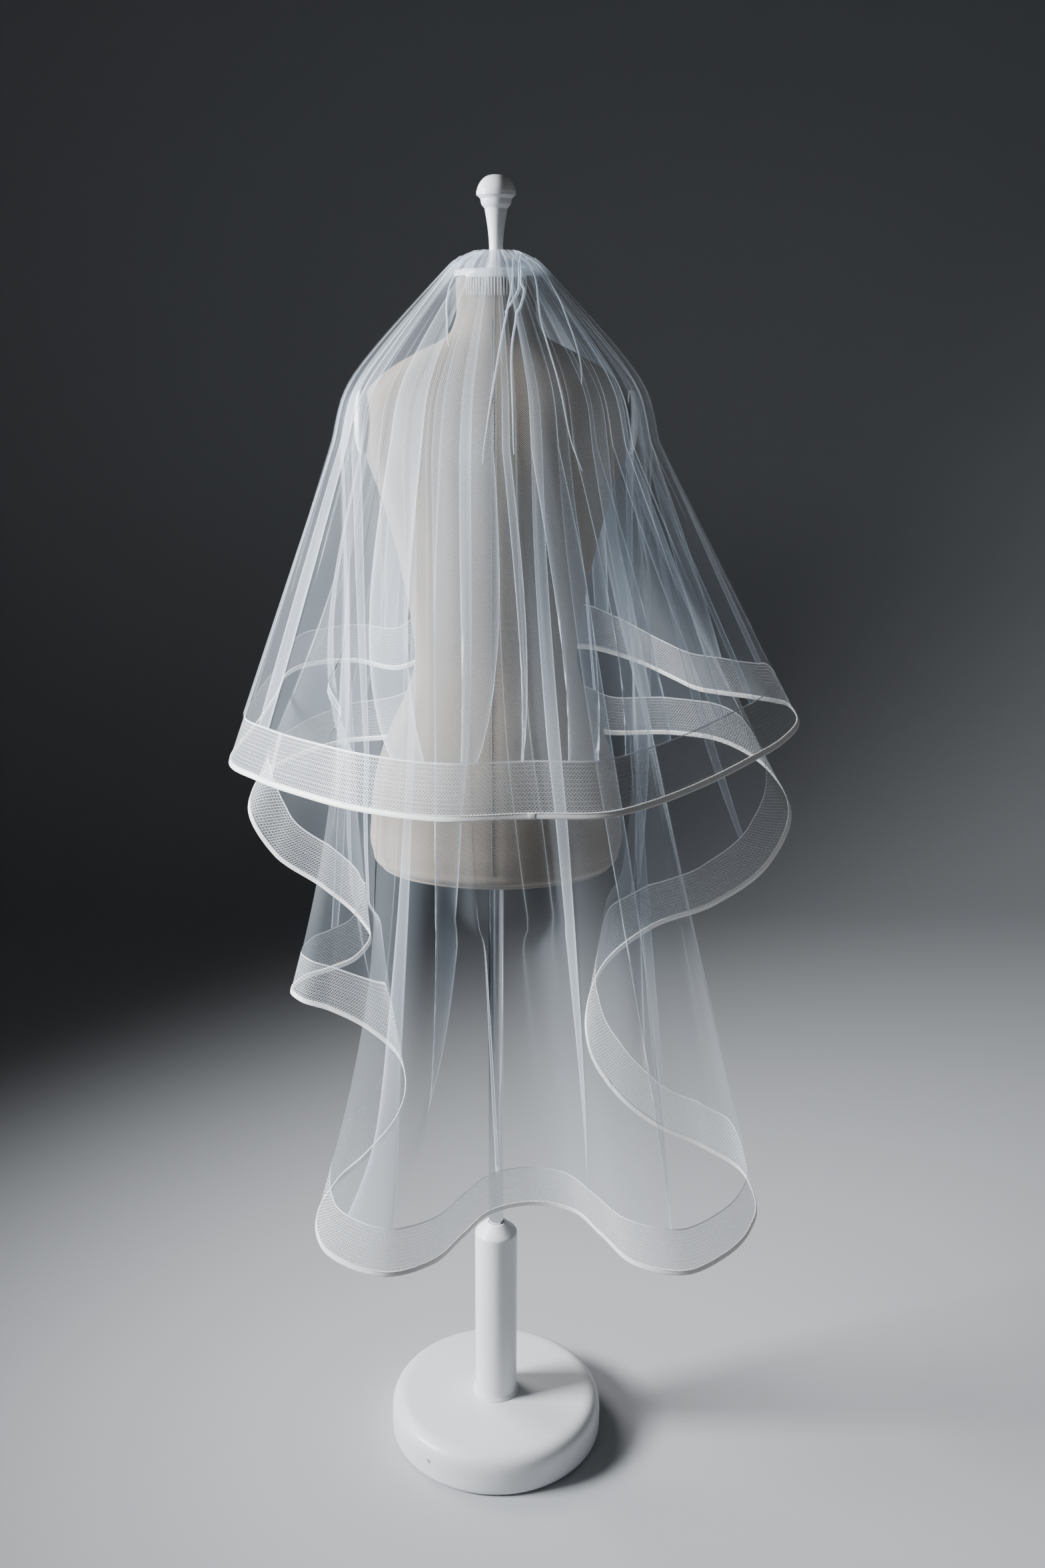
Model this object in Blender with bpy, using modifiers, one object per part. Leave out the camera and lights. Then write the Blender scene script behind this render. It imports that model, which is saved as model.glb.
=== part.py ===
"""Two-tier bridal veil, gathered on a clear comb and draped over a dress form on a round-based stand.

Both tiers are open walls of tulle that wrap the form from the back and leave it open down the front. A stiff
band of open horsehair braid ends each tier, and a satin ribbon binds its edge. Metres, +Z up. The stand's axis
is the Z axis, the floor is Z = 0, the wearer faces +Y, and the back of the veil looks to -Y.
"""

import math
from collections import namedtuple

import bmesh
import bpy
import numpy as np

GAP = 0.0003
SEAM_GAP = 0.0005

TULLE_WALL = 0.0010
BRAID_WALL = 0.0014
BINDING_WALL = 0.0020
BINDING_WIDTH = 0.008
BRAID_WIDTH = 0.068

GATHERS = 30
STEPS_IN_A_GATHER = 4
GATHER_BEATS = ((0.28, 2.4, 0.0), (0.16, 5.1, 1.0))
SHARE_STEP = 1e-3
WRAP = math.radians(310)
EDGE_SIGHT = 1.85
LEAST_LEAN = 0.55
TIP_SPAN = 0.035
CALMING = 8.0
TORSO_EASE = 0.018
TORSO_SOFTNESS = 0.025
HIPS = 0.96
HIP_LINE = 0.88
TUCK_LINE = 0.76
CHEST_LINE = 1.48
HEADING_LINE = 1.62

NECK_RADIUS = 0.050
NECK_TOP = 1.6895
NECK_CAP_RADIUS = 0.0525
NECK_CAP_TOP = 1.6985
COMB_OUTER_RADIUS = 0.0548
COMB_THICKNESS = 0.0018
COMB_TOP = 1.6922
COMB_SPINE_DEPTH = 0.005
COMB_TEETH = 22
COMB_TOOTH_PITCH = 0.0038
COMB_TOOTH_WIDTH = 0.0019
COMB_TOOTH_LENGTH = 0.026

BASE_RADIUS = 0.160
BASE_HEIGHT = 0.063
POST_RADIUS = 0.0315
POST_SHOULDER = 0.340
POST_TOP = 0.3565
BORE_RADIUS = 0.0113
BORE_FLOOR = 0.300
POLE_RADIUS = 0.0107
TORSO_BOTTOM = 0.915
TORSO_SIDES = 24
SHARP_TURN = math.radians(40)
SHOULDER_PLATE_FACE = 0.1693
SHOULDER_PLATE_HEIGHT = 1.514
SHOULDER_PLATE_BULGE = 0.0115
SHOULDER_PLATE_RIM = 0.003
SHOULDER_PLATE_RADIUS = 0.036
SHOULDER_PLATE_STRETCH = 1.12

# One level of the gathered top: half its width, how far it stands behind and before the axis, and how far the
# gathers rise and fall from it.
Ring = namedtuple("Ring", "height side back front gather")

LOWER_RINGS = (
    Ring(1.7190, 0.0265, 0.0260, 0.0250, 0.0004),
    Ring(1.7085, 0.0450, 0.0450, 0.0420, 0.0010),
    Ring(1.6930, 0.0620, 0.0585, 0.0560, 0.0015),
    Ring(1.6000, 0.1450, 0.0980, 0.0900, 0.0035),
    Ring(1.5460, 0.1845, 0.1150, 0.1070, 0.0030),
    Ring(1.4850, 0.1985, 0.1300, 0.1250, 0.0040),
)
UPPER_RINGS = (
    Ring(1.7202, 0.0276, 0.0271, 0.0261, 0.0004),
    Ring(1.7108, 0.0472, 0.0472, 0.0442, 0.0010),
    Ring(1.6960, 0.0655, 0.0620, 0.0595, 0.0015),
    Ring(1.6060, 0.1515, 0.1050, 0.0970, 0.0035),
    Ring(1.5520, 0.1910, 0.1240, 0.1160, 0.0030),
    Ring(1.4900, 0.2085, 0.1440, 0.1390, 0.0045),
)

# One place along a hem: across to the right seen from behind, ahead towards the wearer's front, its height, and
# how late the cloth above it swings out (1 is a straight fall).
Hem = namedtuple("Hem", "across ahead height flare")

UPPER_HEM = (
    Hem(-0.080, 0.190, 1.180, 1.0),  # left front edge
    Hem(-0.142, 0.209, 1.150, 1.0),
    Hem(-0.214, 0.239, 1.155, 1.0),
    Hem(-0.270, 0.228, 1.153, 1.0),
    Hem(-0.303, 0.168, 1.150, 1.0),
    Hem(-0.311, 0.103, 1.133, 1.0),  # fold at the left arm
    Hem(-0.331, 0.058, 1.104, 1.0),
    Hem(-0.352, 0.018, 1.082, 1.0),
    Hem(-0.357, -0.030, 1.075, 1.0),  # left tip
    Hem(-0.304, -0.128, 1.075, 1.0),
    Hem(-0.242, -0.201, 1.077, 1.0),
    Hem(-0.161, -0.271, 1.078, 1.0),
    Hem(-0.064, -0.310, 1.078, 1.0),  # centre back
    Hem(0.037, -0.300, 1.078, 1.0),
    Hem(0.142, -0.286, 1.077, 1.0),
    Hem(0.189, -0.260, 1.082, 1.0),
    Hem(0.248, -0.213, 1.090, 1.0),
    Hem(0.319, -0.151, 1.105, 1.0),
    Hem(0.374, -0.085, 1.115, 1.0),
    Hem(0.405, -0.020, 1.125, 1.0),  # right tip
    Hem(0.403, 0.035, 1.133, 1.0),
    Hem(0.394, 0.100, 1.125, 1.0),
    Hem(0.366, 0.150, 1.120, 1.0),
    Hem(0.333, 0.172, 1.120, 1.0),
    Hem(0.300, 0.196, 1.121, 1.0),  # hollow before the right arm
    Hem(0.266, 0.236, 1.130, 1.0),
    Hem(0.225, 0.266, 1.145, 1.0),
    Hem(0.166, 0.266, 1.165, 1.0),
    Hem(0.095, 0.205, 1.185, 1.0),  # right front edge
)
LOWER_HEM = (
    Hem(-0.075, 0.165, 1.075, 1.2),  # left front edge
    Hem(-0.150, 0.210, 1.045, 1.2),
    Hem(-0.235, 0.235, 1.030, 1.2),
    Hem(-0.310, 0.215, 1.010, 1.2),
    Hem(-0.354, 0.170, 0.989, 1.2),
    Hem(-0.363, 0.130, 0.958, 1.3),  # tip of the first leaf
    Hem(-0.327, 0.115, 0.894, 1.6),
    Hem(-0.254, 0.105, 0.844, 2.0),
    Hem(-0.198, 0.092, 0.796, 2.4),
    Hem(-0.183, 0.078, 0.775, 2.4),  # first turn
    Hem(-0.201, 0.062, 0.752, 2.4),
    Hem(-0.242, 0.054, 0.735, 2.4),
    Hem(-0.282, 0.045, 0.724, 2.4),
    Hem(-0.296, 0.024, 0.716, 2.4),  # tip of the second leaf
    Hem(-0.280, 0.003, 0.711, 2.4),
    Hem(-0.238, -0.005, 0.700, 2.5),
    Hem(-0.178, -0.010, 0.668, 2.6),
    Hem(-0.135, -0.016, 0.622, 3.0),
    Hem(-0.127, -0.036, 0.596, 3.0),  # second turn
    Hem(-0.135, -0.066, 0.566, 3.0),
    Hem(-0.176, -0.088, 0.519, 3.0),
    Hem(-0.226, -0.100, 0.473, 2.9),
    Hem(-0.251, -0.131, 0.440, 2.8),  # tip of the left lobe
    Hem(-0.241, -0.165, 0.421, 2.6),
    Hem(-0.200, -0.196, 0.409, 2.3),
    Hem(-0.150, -0.208, 0.403, 2.0),
    Hem(-0.085, -0.178, 0.403, 1.8),
    Hem(-0.047, -0.120, 0.405, 1.8),
    Hem(-0.008, -0.068, 0.410, 1.8),
    Hem(0.051, -0.047, 0.412, 1.8),  # arch over the post
    Hem(0.110, -0.060, 0.409, 1.7),
    Hem(0.148, -0.115, 0.405, 1.6),
    Hem(0.188, -0.168, 0.395, 1.5),
    Hem(0.260, -0.182, 0.388, 1.3),
    Hem(0.318, -0.148, 0.392, 1.15),
    Hem(0.362, -0.090, 0.395, 1.1),
    Hem(0.380, -0.035, 0.404, 1.1),  # tip of the right lobe
    Hem(0.367, -0.002, 0.432, 1.2),
    Hem(0.310, 0.012, 0.468, 1.4),
    Hem(0.235, 0.013, 0.506, 1.6),
    Hem(0.175, 0.018, 0.556, 1.75),
    Hem(0.138, 0.040, 0.610, 1.85),
    Hem(0.132, 0.066, 0.655, 1.85),  # third turn
    Hem(0.153, 0.086, 0.715, 1.75),
    Hem(0.226, 0.090, 0.785, 1.6),
    Hem(0.320, 0.088, 0.825, 1.4),
    Hem(0.397, 0.093, 0.885, 1.3),
    Hem(0.431, 0.122, 0.957, 1.2),  # tip of the right leaf
    Hem(0.405, 0.160, 1.005, 1.1),
    Hem(0.341, 0.196, 1.041, 1.1),
    Hem(0.270, 0.225, 1.047, 1.1),
    Hem(0.176, 0.245, 1.042, 1.1),
    Hem(0.090, 0.190, 1.070, 1.1),  # right front edge
)

# One level of the form: half its width, and how far it stands behind and before the axis.
Girth = namedtuple("Girth", "height side back front")

TORSO = (
    Girth(TORSO_BOTTOM, 0.100, 0.070, 0.065),
    Girth(0.918, 0.140, 0.096, 0.090),
    Girth(0.926, 0.160, 0.111, 0.104),
    Girth(0.945, 0.170, 0.119, 0.110),
    Girth(0.990, 0.171, 0.122, 0.112),  # hips
    Girth(1.057, 0.1625, 0.117, 0.108),
    Girth(1.115, 0.143, 0.104, 0.100),
    Girth(1.170, 0.118, 0.088, 0.092),
    Girth(1.205, 0.108, 0.082, 0.090),  # waist
    Girth(1.250, 0.111, 0.083, 0.094),
    Girth(1.310, 0.121, 0.088, 0.106),
    Girth(1.370, 0.134, 0.094, 0.120),
    Girth(1.425, 0.150, 0.098, 0.120),
    Girth(1.480, 0.168, 0.097, 0.104),
    Girth(1.530, 0.169, 0.086, 0.082),  # shoulders
    Girth(1.558, 0.160, 0.074, 0.066),
    Girth(1.580, 0.135, 0.064, 0.056),
    Girth(1.600, 0.100, 0.056, 0.049),
    Girth(1.618, 0.064, 0.051, 0.046),
    Girth(1.639, 0.0515, 0.049, 0.046),
    Girth(1.670, NECK_RADIUS, 0.048, 0.047),
    Girth(NECK_TOP, NECK_RADIUS, 0.049, 0.049),
)

# How a piece looks: its colour, how rough it is and how metallic.
Finish = namedtuple("Finish", "colour roughness metallic")

TULLE = Finish((0.86, 0.88, 0.91), 0.75, 0.0)
HORSEHAIR = Finish((0.80, 0.83, 0.88), 0.45, 0.0)
SATIN = Finish((0.93, 0.93, 0.92), 0.35, 0.0)
LINEN = Finish((0.78, 0.74, 0.69), 0.90, 0.0)
WHITE_PAINT = Finish((0.86, 0.87, 0.89), 0.35, 0.0)
CHROME = Finish((0.75, 0.76, 0.78), 0.12, 1.0)
CLEAR_PLASTIC = Finish((0.90, 0.93, 0.95), 0.15, 0.0)


class SmoothTable:
    """A smooth curve through the rows of a table, one row at each knot."""

    def __init__(self, knots, rows):
        self.knots = np.asarray(knots, float)
        self.rows = np.asarray(rows, float)
        self.slopes = np.gradient(self.rows, self.knots, axis=0)

    def at(self, where):
        """The row at each value of where, in a last axis of its own."""
        where = np.clip(where, self.knots[0], self.knots[-1])
        left = np.clip(np.searchsorted(self.knots, where, side="right") - 1, 0, len(self.knots) - 2)
        span = (self.knots[left + 1] - self.knots[left])[..., None]
        u = ((where - self.knots[left])[..., None]) / span
        start = (1 + 2 * u) * (1 - u) ** 2 * self.rows[left] + u * (1 - u) ** 2 * span * self.slopes[left]
        end = u**2 * (3 - 2 * u) * self.rows[left + 1] + u**2 * (u - 1) * span * self.slopes[left + 1]
        return start + end


def hem_table(hem):
    """The hem as a smooth curve, its knots the share of the cloth's edge up to each row."""
    places = np.array([row[:3] for row in hem])
    run = np.concatenate(([0.0], np.cumsum(np.linalg.norm(np.diff(places, axis=0), axis=1))))
    return SmoothTable(run / run[-1], hem)


def ring_table(rings):
    """The gathered top as a smooth curve of its levels, from 0 at its upper edge to 1 at the chest."""
    return SmoothTable(np.linspace(0, 1, len(rings)), rings)


def gather_edges():
    """The shares of the heading at which one gather ends and the next begins, unevenly spaced."""
    count = np.arange(GATHERS)
    widths = 1 + sum(size * np.sin(rate * count + start) for size, rate, start in GATHER_BEATS)
    return np.concatenate(([0.0], np.cumsum(widths))) / widths.sum()


EDGES = gather_edges()
TORSO_TABLE = SmoothTable([row.height for row in TORSO], [row[1:] for row in TORSO])


class Tier:
    """One tier of the veil as a surface.

    share runs along the cloth's edge from the left front to the right front. fall runs from 0 at the heading
    through 1 at the chest to 2 at the braid. Below that, drop is a length: how far above the edge.
    """

    def __init__(self, rings, hem):
        self.rings = ring_table(rings)
        self.hem = hem_table(hem)

    def ring(self, share, fall):
        """Places and gather depths on the gathered top."""
        level = self.rings.at(fall)
        height, side, back, front, gather = np.moveaxis(level, -1, 0)
        turn = (share - 0.5) * WRAP
        depth = np.where(np.cos(turn) > 0, back, front)
        return np.stack([side * np.sin(turn), -depth * np.cos(turn), height], -1), gather

    def draped(self, share, fall, end):
        """Places on the cloth before it is gathered, where it hangs from the heading to these ends."""
        top = self.ring(share, np.minimum(fall, 1.0))[0]
        hang = np.clip(fall - 1.0, 0.0, 1.0)
        swing = hang ** self.hem.at(share)[..., 3]
        return clear_of_torso(top + (end - top) * np.stack([swing, swing, hang], -1))

    def band_place(self, share, drop):
        """Places on the braid or the binding, this far above the edge along its own width."""
        place = self.hem.at(share)[..., :3]
        after = self.hem.at(np.minimum(share + SHARE_STEP, 1))
        before = self.hem.at(np.maximum(share - SHARE_STEP, 0))
        along = unit((after - before)[..., :3])
        up = unit(self.draped(share, np.full_like(share, EDGE_SIGHT), place) - place)
        across = np.linalg.norm(np.cross(up, along), axis=-1, keepdims=True)
        return place + up / np.maximum(across, LEAST_LEAN) * drop[..., None]

    def band(self, share, drop):
        """Places on the braid or the binding, and the outward directions there."""
        share, drop = np.broadcast_arrays(share, drop)
        after = self.band_place(np.minimum(share + SHARE_STEP, 1), drop)
        before = self.band_place(np.maximum(share - SHARE_STEP, 0), drop)
        down = self.band_place(share, drop - SHARE_STEP) - self.band_place(share, drop + SHARE_STEP)
        return self.band_place(share, drop), unit(np.cross(down, after - before))

    def straightness(self, share):
        """How straight the edge runs here: 1 on a straight stretch, and near 0 at the tip of a leaf."""
        reach = np.array([-1.0, -0.5, 0.0, 0.5, 1.0]) * TIP_SPAN
        places = [self.hem.at(np.clip(share + step, 0, 1))[..., :3] for step in reach]
        run = sum(np.linalg.norm(b - a, axis=-1) for a, b in zip(places, places[1:]))
        return np.linalg.norm(places[-1] - places[0], axis=-1) / run

    def smooth(self, share, fall):
        """Places on the tulle before it is gathered."""
        return self.draped(share, fall, self.band(share, BRAID_WIDTH + SEAM_GAP)[0])

    def places(self, share, fall):
        """Places on the gathered tulle."""
        hang = np.clip(fall - 1.0, 0.0, 1.0)
        calm = 1 - np.minimum(hang * CALMING, 1) * (1 - self.straightness(share) ** 2)
        gather = self.ring(share, np.minimum(fall, 1.0))[1] * (1 - hang) * calm
        wave = -np.cos(2 * np.pi * np.interp(share, EDGES, np.arange(GATHERS + 1)))
        out = outward(self.smooth, share, fall, SHARE_STEP)
        return self.smooth(share, fall) + out * (gather * wave)[..., None]

    def tulle_wall(self, share, falls, thickness):
        """Places on both faces of the tulle's wall, a column for each share and a row for each fall."""
        share, falls = np.broadcast_arrays(share[:, None], falls[None, :])
        middle = self.places(share, falls)
        out = outward(self.places, share, falls, 3 * SHARE_STEP)
        out[:, -1] = self.band(share[:, -1], BRAID_WIDTH)[1]
        return middle + out * thickness / 2, middle - out * thickness / 2

    def band_wall(self, share, drops, thickness):
        """Places on both faces of the braid's or the binding's wall, a row for each drop."""
        share, drops = np.broadcast_arrays(share[:, None], np.asarray(drops)[None, :])
        middle, out = self.band(share, drops)
        return middle + out * thickness / 2, middle - out * thickness / 2


def unit(vectors):
    """The vectors at length 1."""
    return vectors / np.linalg.norm(vectors, axis=-1, keepdims=True)


def outward(places, share, fall, step):
    """The outward directions of a surface, from the places a small step away on it."""
    along = places(np.minimum(share + step, 1), fall) - places(np.maximum(share - step, 0), fall)
    down = places(share, np.minimum(fall + step, 2)) - places(share, np.maximum(fall - step, 0))
    return unit(np.cross(down, along))


def clear_of_torso(place):
    """Moves places out of the form, down to the hips, and lets the cloth swing back in below them."""
    x, y, z = np.moveaxis(place, -1, 0)
    reach = np.hypot(x, y) + 1e-9
    side, back, front = np.moveaxis(TORSO_TABLE.at(np.maximum(z, HIPS)), -1, 0)
    depth = np.where(y < 0, back, front)
    edge = 1 / np.sqrt((x / reach / side) ** 2 + (y / reach / depth) ** 2) + TORSO_EASE
    edge = edge * np.clip((z - TUCK_LINE) / (HIP_LINE - TUCK_LINE), 0, 1)
    edge = edge * np.clip((HEADING_LINE - z) / (HEADING_LINE - CHEST_LINE), 0, 1)
    near = np.maximum(TORSO_SOFTNESS - np.abs(reach - edge), 0)
    pushed = np.maximum(reach, edge) + near**2 / (4 * TORSO_SOFTNESS)
    return np.stack([x / reach * pushed, y / reach * pushed, z], -1)


def clear_scene():
    """Removes what the file holds, so that a second run starts afresh."""
    for thing in list(bpy.data.objects):
        bpy.data.objects.remove(thing, do_unlink=True)


def make_material(name, finish):
    """A material of the named finish."""
    material = bpy.data.materials.new(name)
    material.use_nodes = True
    shader = material.node_tree.nodes["Principled BSDF"]
    shader.inputs["Base Color"].default_value = (*finish.colour, 1.0)
    shader.inputs["Roughness"].default_value = finish.roughness
    shader.inputs["Metallic"].default_value = finish.metallic
    return material


def add_object(name, mesh, finish, collection):
    """A named object of this mesh, in its own material."""
    thing = bpy.data.objects.new(name, mesh)
    collection.objects.link(thing)
    mesh.materials.append(make_material(name, finish))
    return thing


def add_wall(name, outer, inner, finish, collection):
    """A closed wall of triangles between the columns of places on its outer and its inner face.

    Both faces are split along the same diagonals, so that they stay apart where the cloth twists.
    """
    mesh = bpy.data.meshes.new(name)
    shape = bmesh.new()
    front = [[shape.verts.new(place) for place in column] for column in outer]
    back = [[shape.verts.new(place) for place in column] for column in inner]

    def add_faces(corners):
        """The outer and the inner triangle between three corners of a cell."""
        shape.faces.new([front[column][row] for column, row in corners])
        shape.faces.new([back[column][row] for column, row in reversed(corners)])

    def add_rim(one, two):
        """The wall's edge between two neighbouring corners."""
        ends = [face[column][row] for face in (front, back) for column, row in (one, two)]
        shape.faces.new((ends[1], ends[0], ends[3]))
        shape.faces.new((ends[0], ends[2], ends[3]))

    last_column = len(front) - 1
    last_row = len(front[0]) - 1
    for column in range(last_column):
        for row in range(last_row):
            cell = [(column, row), (column, row + 1), (column + 1, row + 1), (column + 1, row)]
            places = [front[across][along].co for across, along in cell]
            if (places[0] - places[2]).length > (places[1] - places[3]).length:
                cell = cell[1:] + cell[:1]
            add_faces(cell[:3])
            add_faces([cell[0], cell[2], cell[3]])
        add_rim((column + 1, 0), (column, 0))
        add_rim((column, last_row), (column + 1, last_row))
    for row in range(last_row):
        add_rim((0, row), (0, row + 1))
        add_rim((last_column, row + 1), (last_column, row))
    shape.to_mesh(mesh)
    shape.free()
    mesh.shade_smooth()
    add_object(name, mesh, finish, collection)


def cloth_shares():
    """The columns of the cloth: the bottom, rise, crest and fall of each gather, and the last edge."""
    parts = np.arange(STEPS_IN_A_GATHER) / STEPS_IN_A_GATHER
    shares = [start + (end - start) * part for start, end in zip(EDGES, EDGES[1:]) for part in parts]
    return np.array(shares + [1.0])


def add_tier(name, rings, hem, hanging_rows, collection):
    """One tier: its gathered tulle, the braid below it and the binding on its edge."""
    tier = Tier(rings, hem)
    share = cloth_shares()
    falls = np.concatenate((np.linspace(0, 1, len(rings)), 1 + np.arange(1, hanging_rows + 1) / hanging_rows))
    outer, inner = tier.tulle_wall(share, falls, TULLE_WALL)
    add_wall(f"{name}_tier", outer, inner, TULLE, collection)
    bands = (
        ("braid", (BRAID_WIDTH, BINDING_WIDTH + SEAM_GAP), BRAID_WALL, HORSEHAIR),
        ("binding", (BINDING_WIDTH, 0.0), BINDING_WALL, SATIN),
    )
    for kind, drops, thickness, finish in bands:
        outer, inner = tier.band_wall(share, drops, thickness)
        add_wall(f"{name}_{kind}", outer, inner, finish, collection)


def add_turned(name, profile, steps, finish, collection):
    """A turned piece from its profile: radius and height, from the top down its outer side."""
    mesh = bpy.data.meshes.new(name)
    shape = bmesh.new()
    verts = [shape.verts.new((radius, 0.0, height)) for radius, height in profile]
    for one, two in zip(verts, verts[1:]):
        shape.edges.new((one, two))
    shape.to_mesh(mesh)
    shape.free()
    thing = add_object(name, mesh, finish, collection)
    turn = thing.modifiers.new("turn", "SCREW")
    turn.steps = steps
    turn.render_steps = steps
    turn.use_merge_vertices = True
    turn.merge_threshold = 0.00005
    return thing


def add_torso(collection):
    """The covered form: a loft through its girths, closed below and at the neck."""
    mesh = bpy.data.meshes.new("torso")
    shape = bmesh.new()
    levels = []
    for girth in TORSO:
        ring = []
        for side in range(TORSO_SIDES):
            turn = 2 * math.pi * side / TORSO_SIDES
            depth = girth.back if math.cos(turn) > 0 else girth.front
            place = (girth.side * math.sin(turn), -depth * math.cos(turn), girth.height)
            ring.append(shape.verts.new(place))
        levels.append(ring)
    for low, high in zip(levels, levels[1:]):
        for side in range(TORSO_SIDES):
            after = (side + 1) % TORSO_SIDES
            shape.faces.new((low[side], low[after], high[after], high[side]))
    shape.faces.new(reversed(levels[0]))
    shape.faces.new(levels[-1])
    shape.to_mesh(mesh)
    shape.free()
    mesh.shade_smooth()
    add_object("torso", mesh, LINEN, collection)


def add_shoulder_plate(name, side, collection):
    """A domed oval plate on the form's shoulder: side is -1 for the left and 1 for the right."""
    radius, bulge = SHOULDER_PLATE_RADIUS, SHOULDER_PLATE_BULGE
    profile = [(0.0, bulge)]
    for turn in (25, 50, 72, 90):
        angle = math.radians(turn)
        rise = SHOULDER_PLATE_RIM + (bulge - SHOULDER_PLATE_RIM) * math.cos(angle)
        profile.append((radius * math.sin(angle), rise))
    profile += [(radius, 0.0), (0.0, 0.0)]
    plate = add_turned(name, profile, 16, WHITE_PAINT, collection)
    plate.rotation_euler = (0.0, side * math.pi / 2, 0.0)
    plate.scale = (SHOULDER_PLATE_STRETCH, 1.0, 1.0)
    plate.location = (side * SHOULDER_PLATE_FACE, 0.0, SHOULDER_PLATE_HEIGHT)


def add_comb(collection):
    """The clear comb: a spine bent round the back of the neck, and its teeth."""
    middle = COMB_OUTER_RADIUS - COMB_THICKNESS / 2
    spine_low = COMB_TOP - COMB_SPINE_DEPTH
    mesh = bpy.data.meshes.new("comb")
    shape = bmesh.new()

    def corner(run, height):
        """A corner at this run round the neck and this height."""
        turn = run / middle
        return shape.verts.new((middle * math.sin(turn), -middle * math.cos(turn), height))

    first = -(COMB_TEETH - 1) * COMB_TOOTH_PITCH / 2 - COMB_TOOTH_WIDTH / 2
    rows = []
    for tooth in range(COMB_TEETH):
        start = first + tooth * COMB_TOOTH_PITCH
        for run in (start, start + COMB_TOOTH_WIDTH):
            rows.append((corner(run, COMB_TOP), corner(run, spine_low), run))
    for one, two in zip(rows, rows[1:]):
        shape.faces.new((one[0], one[1], two[1], two[0]))
    inset = COMB_TOOTH_WIDTH / 4
    tip_height = COMB_TOP - COMB_TOOTH_LENGTH
    for one, two in zip(rows[::2], rows[1::2]):
        tip = [corner(run, tip_height) for run in (one[2] + inset, two[2] - inset)]
        shape.faces.new((one[1], tip[0], tip[1], two[1]))
    shape.to_mesh(mesh)
    shape.free()
    comb = add_object("comb", mesh, CLEAR_PLASTIC, collection)
    wall = comb.modifiers.new("thickness", "SOLIDIFY")
    wall.thickness = COMB_THICKNESS
    wall.offset = 0.0


def add_stand(collection):
    """The round base, the post with its cone top, the chrome pole, the neck cap and the finial."""
    base_edge = 0.022
    base = [(0.0, BASE_HEIGHT), (BASE_RADIUS - base_edge, BASE_HEIGHT)]
    for turn in (30, 60, 90):
        angle = math.radians(turn)
        reach = BASE_RADIUS - base_edge + base_edge * math.sin(angle)
        base.append((reach, BASE_HEIGHT - base_edge * (1 - math.cos(angle))))
    base += [(BASE_RADIUS, 0.014), (BASE_RADIUS - 0.003, 0.005), (BASE_RADIUS - 0.009, 0.0), (0.0, 0.0)]
    add_turned("base", base, 36, WHITE_PAINT, collection)

    post_foot = BASE_HEIGHT + GAP
    post = [
        (0.0, BORE_FLOOR),
        (BORE_RADIUS, BORE_FLOOR),
        (BORE_RADIUS, POST_TOP),
        (BORE_RADIUS + 0.0025, POST_TOP),
        (POST_RADIUS, POST_SHOULDER),
        (POST_RADIUS, post_foot + 0.007),
        (POST_RADIUS + 0.003, post_foot + 0.002),
        (POST_RADIUS + 0.004, post_foot),
        (0.0, post_foot),
    ]
    add_turned("post", post, 28, WHITE_PAINT, collection)

    pole_foot = BORE_FLOOR + GAP
    pole_top = TORSO_BOTTOM - GAP
    pole = [(0.0, pole_top), (POLE_RADIUS, pole_top), (POLE_RADIUS, pole_foot), (0.0, pole_foot)]
    add_turned("pole", pole, 28, CHROME, collection)

    cap_foot = NECK_TOP + GAP
    neck_cap = [
        (0.0, NECK_CAP_TOP),
        (0.0445, NECK_CAP_TOP),
        (0.0495, NECK_CAP_TOP - 0.0013),
        (0.0518, NECK_CAP_TOP - 0.0038),
        (NECK_CAP_RADIUS, cap_foot + 0.0015),
        (NECK_CAP_RADIUS, cap_foot),
        (0.0, cap_foot),
    ]
    add_turned("neck_cap", neck_cap, 24, WHITE_PAINT, collection)

    finial_foot = NECK_CAP_TOP + GAP
    finial = [
        (0.0, 1.8080),
        (0.0110, 1.8062),
        (0.0195, 1.8000),
        (0.0238, 1.7925),
        (0.0240, 1.7870),
        (0.0215, 1.7820),
        (0.0188, 1.7800),
        (0.0190, 1.7780),
        (0.0165, 1.7715),
        (0.0137, 1.7690),
        (0.0136, 1.7670),
        (0.0102, 1.7480),
        (0.0081, 1.7235),
        (0.0085, 1.7080),
        (0.0120, 1.7010),
        (0.0125, finial_foot),
        (0.0, finial_foot),
    ]
    add_turned("finial", finial, 16, WHITE_PAINT, collection)


def main():
    """Builds the form and its stand, then the comb and the two tiers on it."""
    clear_scene()
    collection = bpy.data.collections.new("bridal_veil")
    bpy.context.scene.collection.children.link(collection)
    add_stand(collection)
    add_torso(collection)
    add_shoulder_plate("shoulder_cap_left", -1, collection)
    add_shoulder_plate("shoulder_cap_right", 1, collection)
    add_comb(collection)
    add_tier("lower", LOWER_RINGS, LOWER_HEM, 5, collection)
    add_tier("upper", UPPER_RINGS, UPPER_HEM, 3, collection)
    for name in ("base", "post", "pole", "neck_cap", "finial"):
        bpy.data.objects[name].data.set_sharp_from_angle(angle=SHARP_TURN)


main()
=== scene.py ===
"""Looks of the two-tier bridal veil on its dress form stand.

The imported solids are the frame. The tulle, the braid, the ribbon and the turned pieces are made again here
with finer shapes on the same forms, and every finish is set. Metres, +Z up, the stand's axis is the Z axis,
the wearer faces +Y, and the camera looks at the back of the veil.
"""

from __future__ import annotations

import logging
import math
from dataclasses import dataclass
from enum import Enum
from typing import NamedTuple, Sequence

import bmesh
import bpy
import numpy as np
from mathutils import Matrix, Vector


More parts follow.
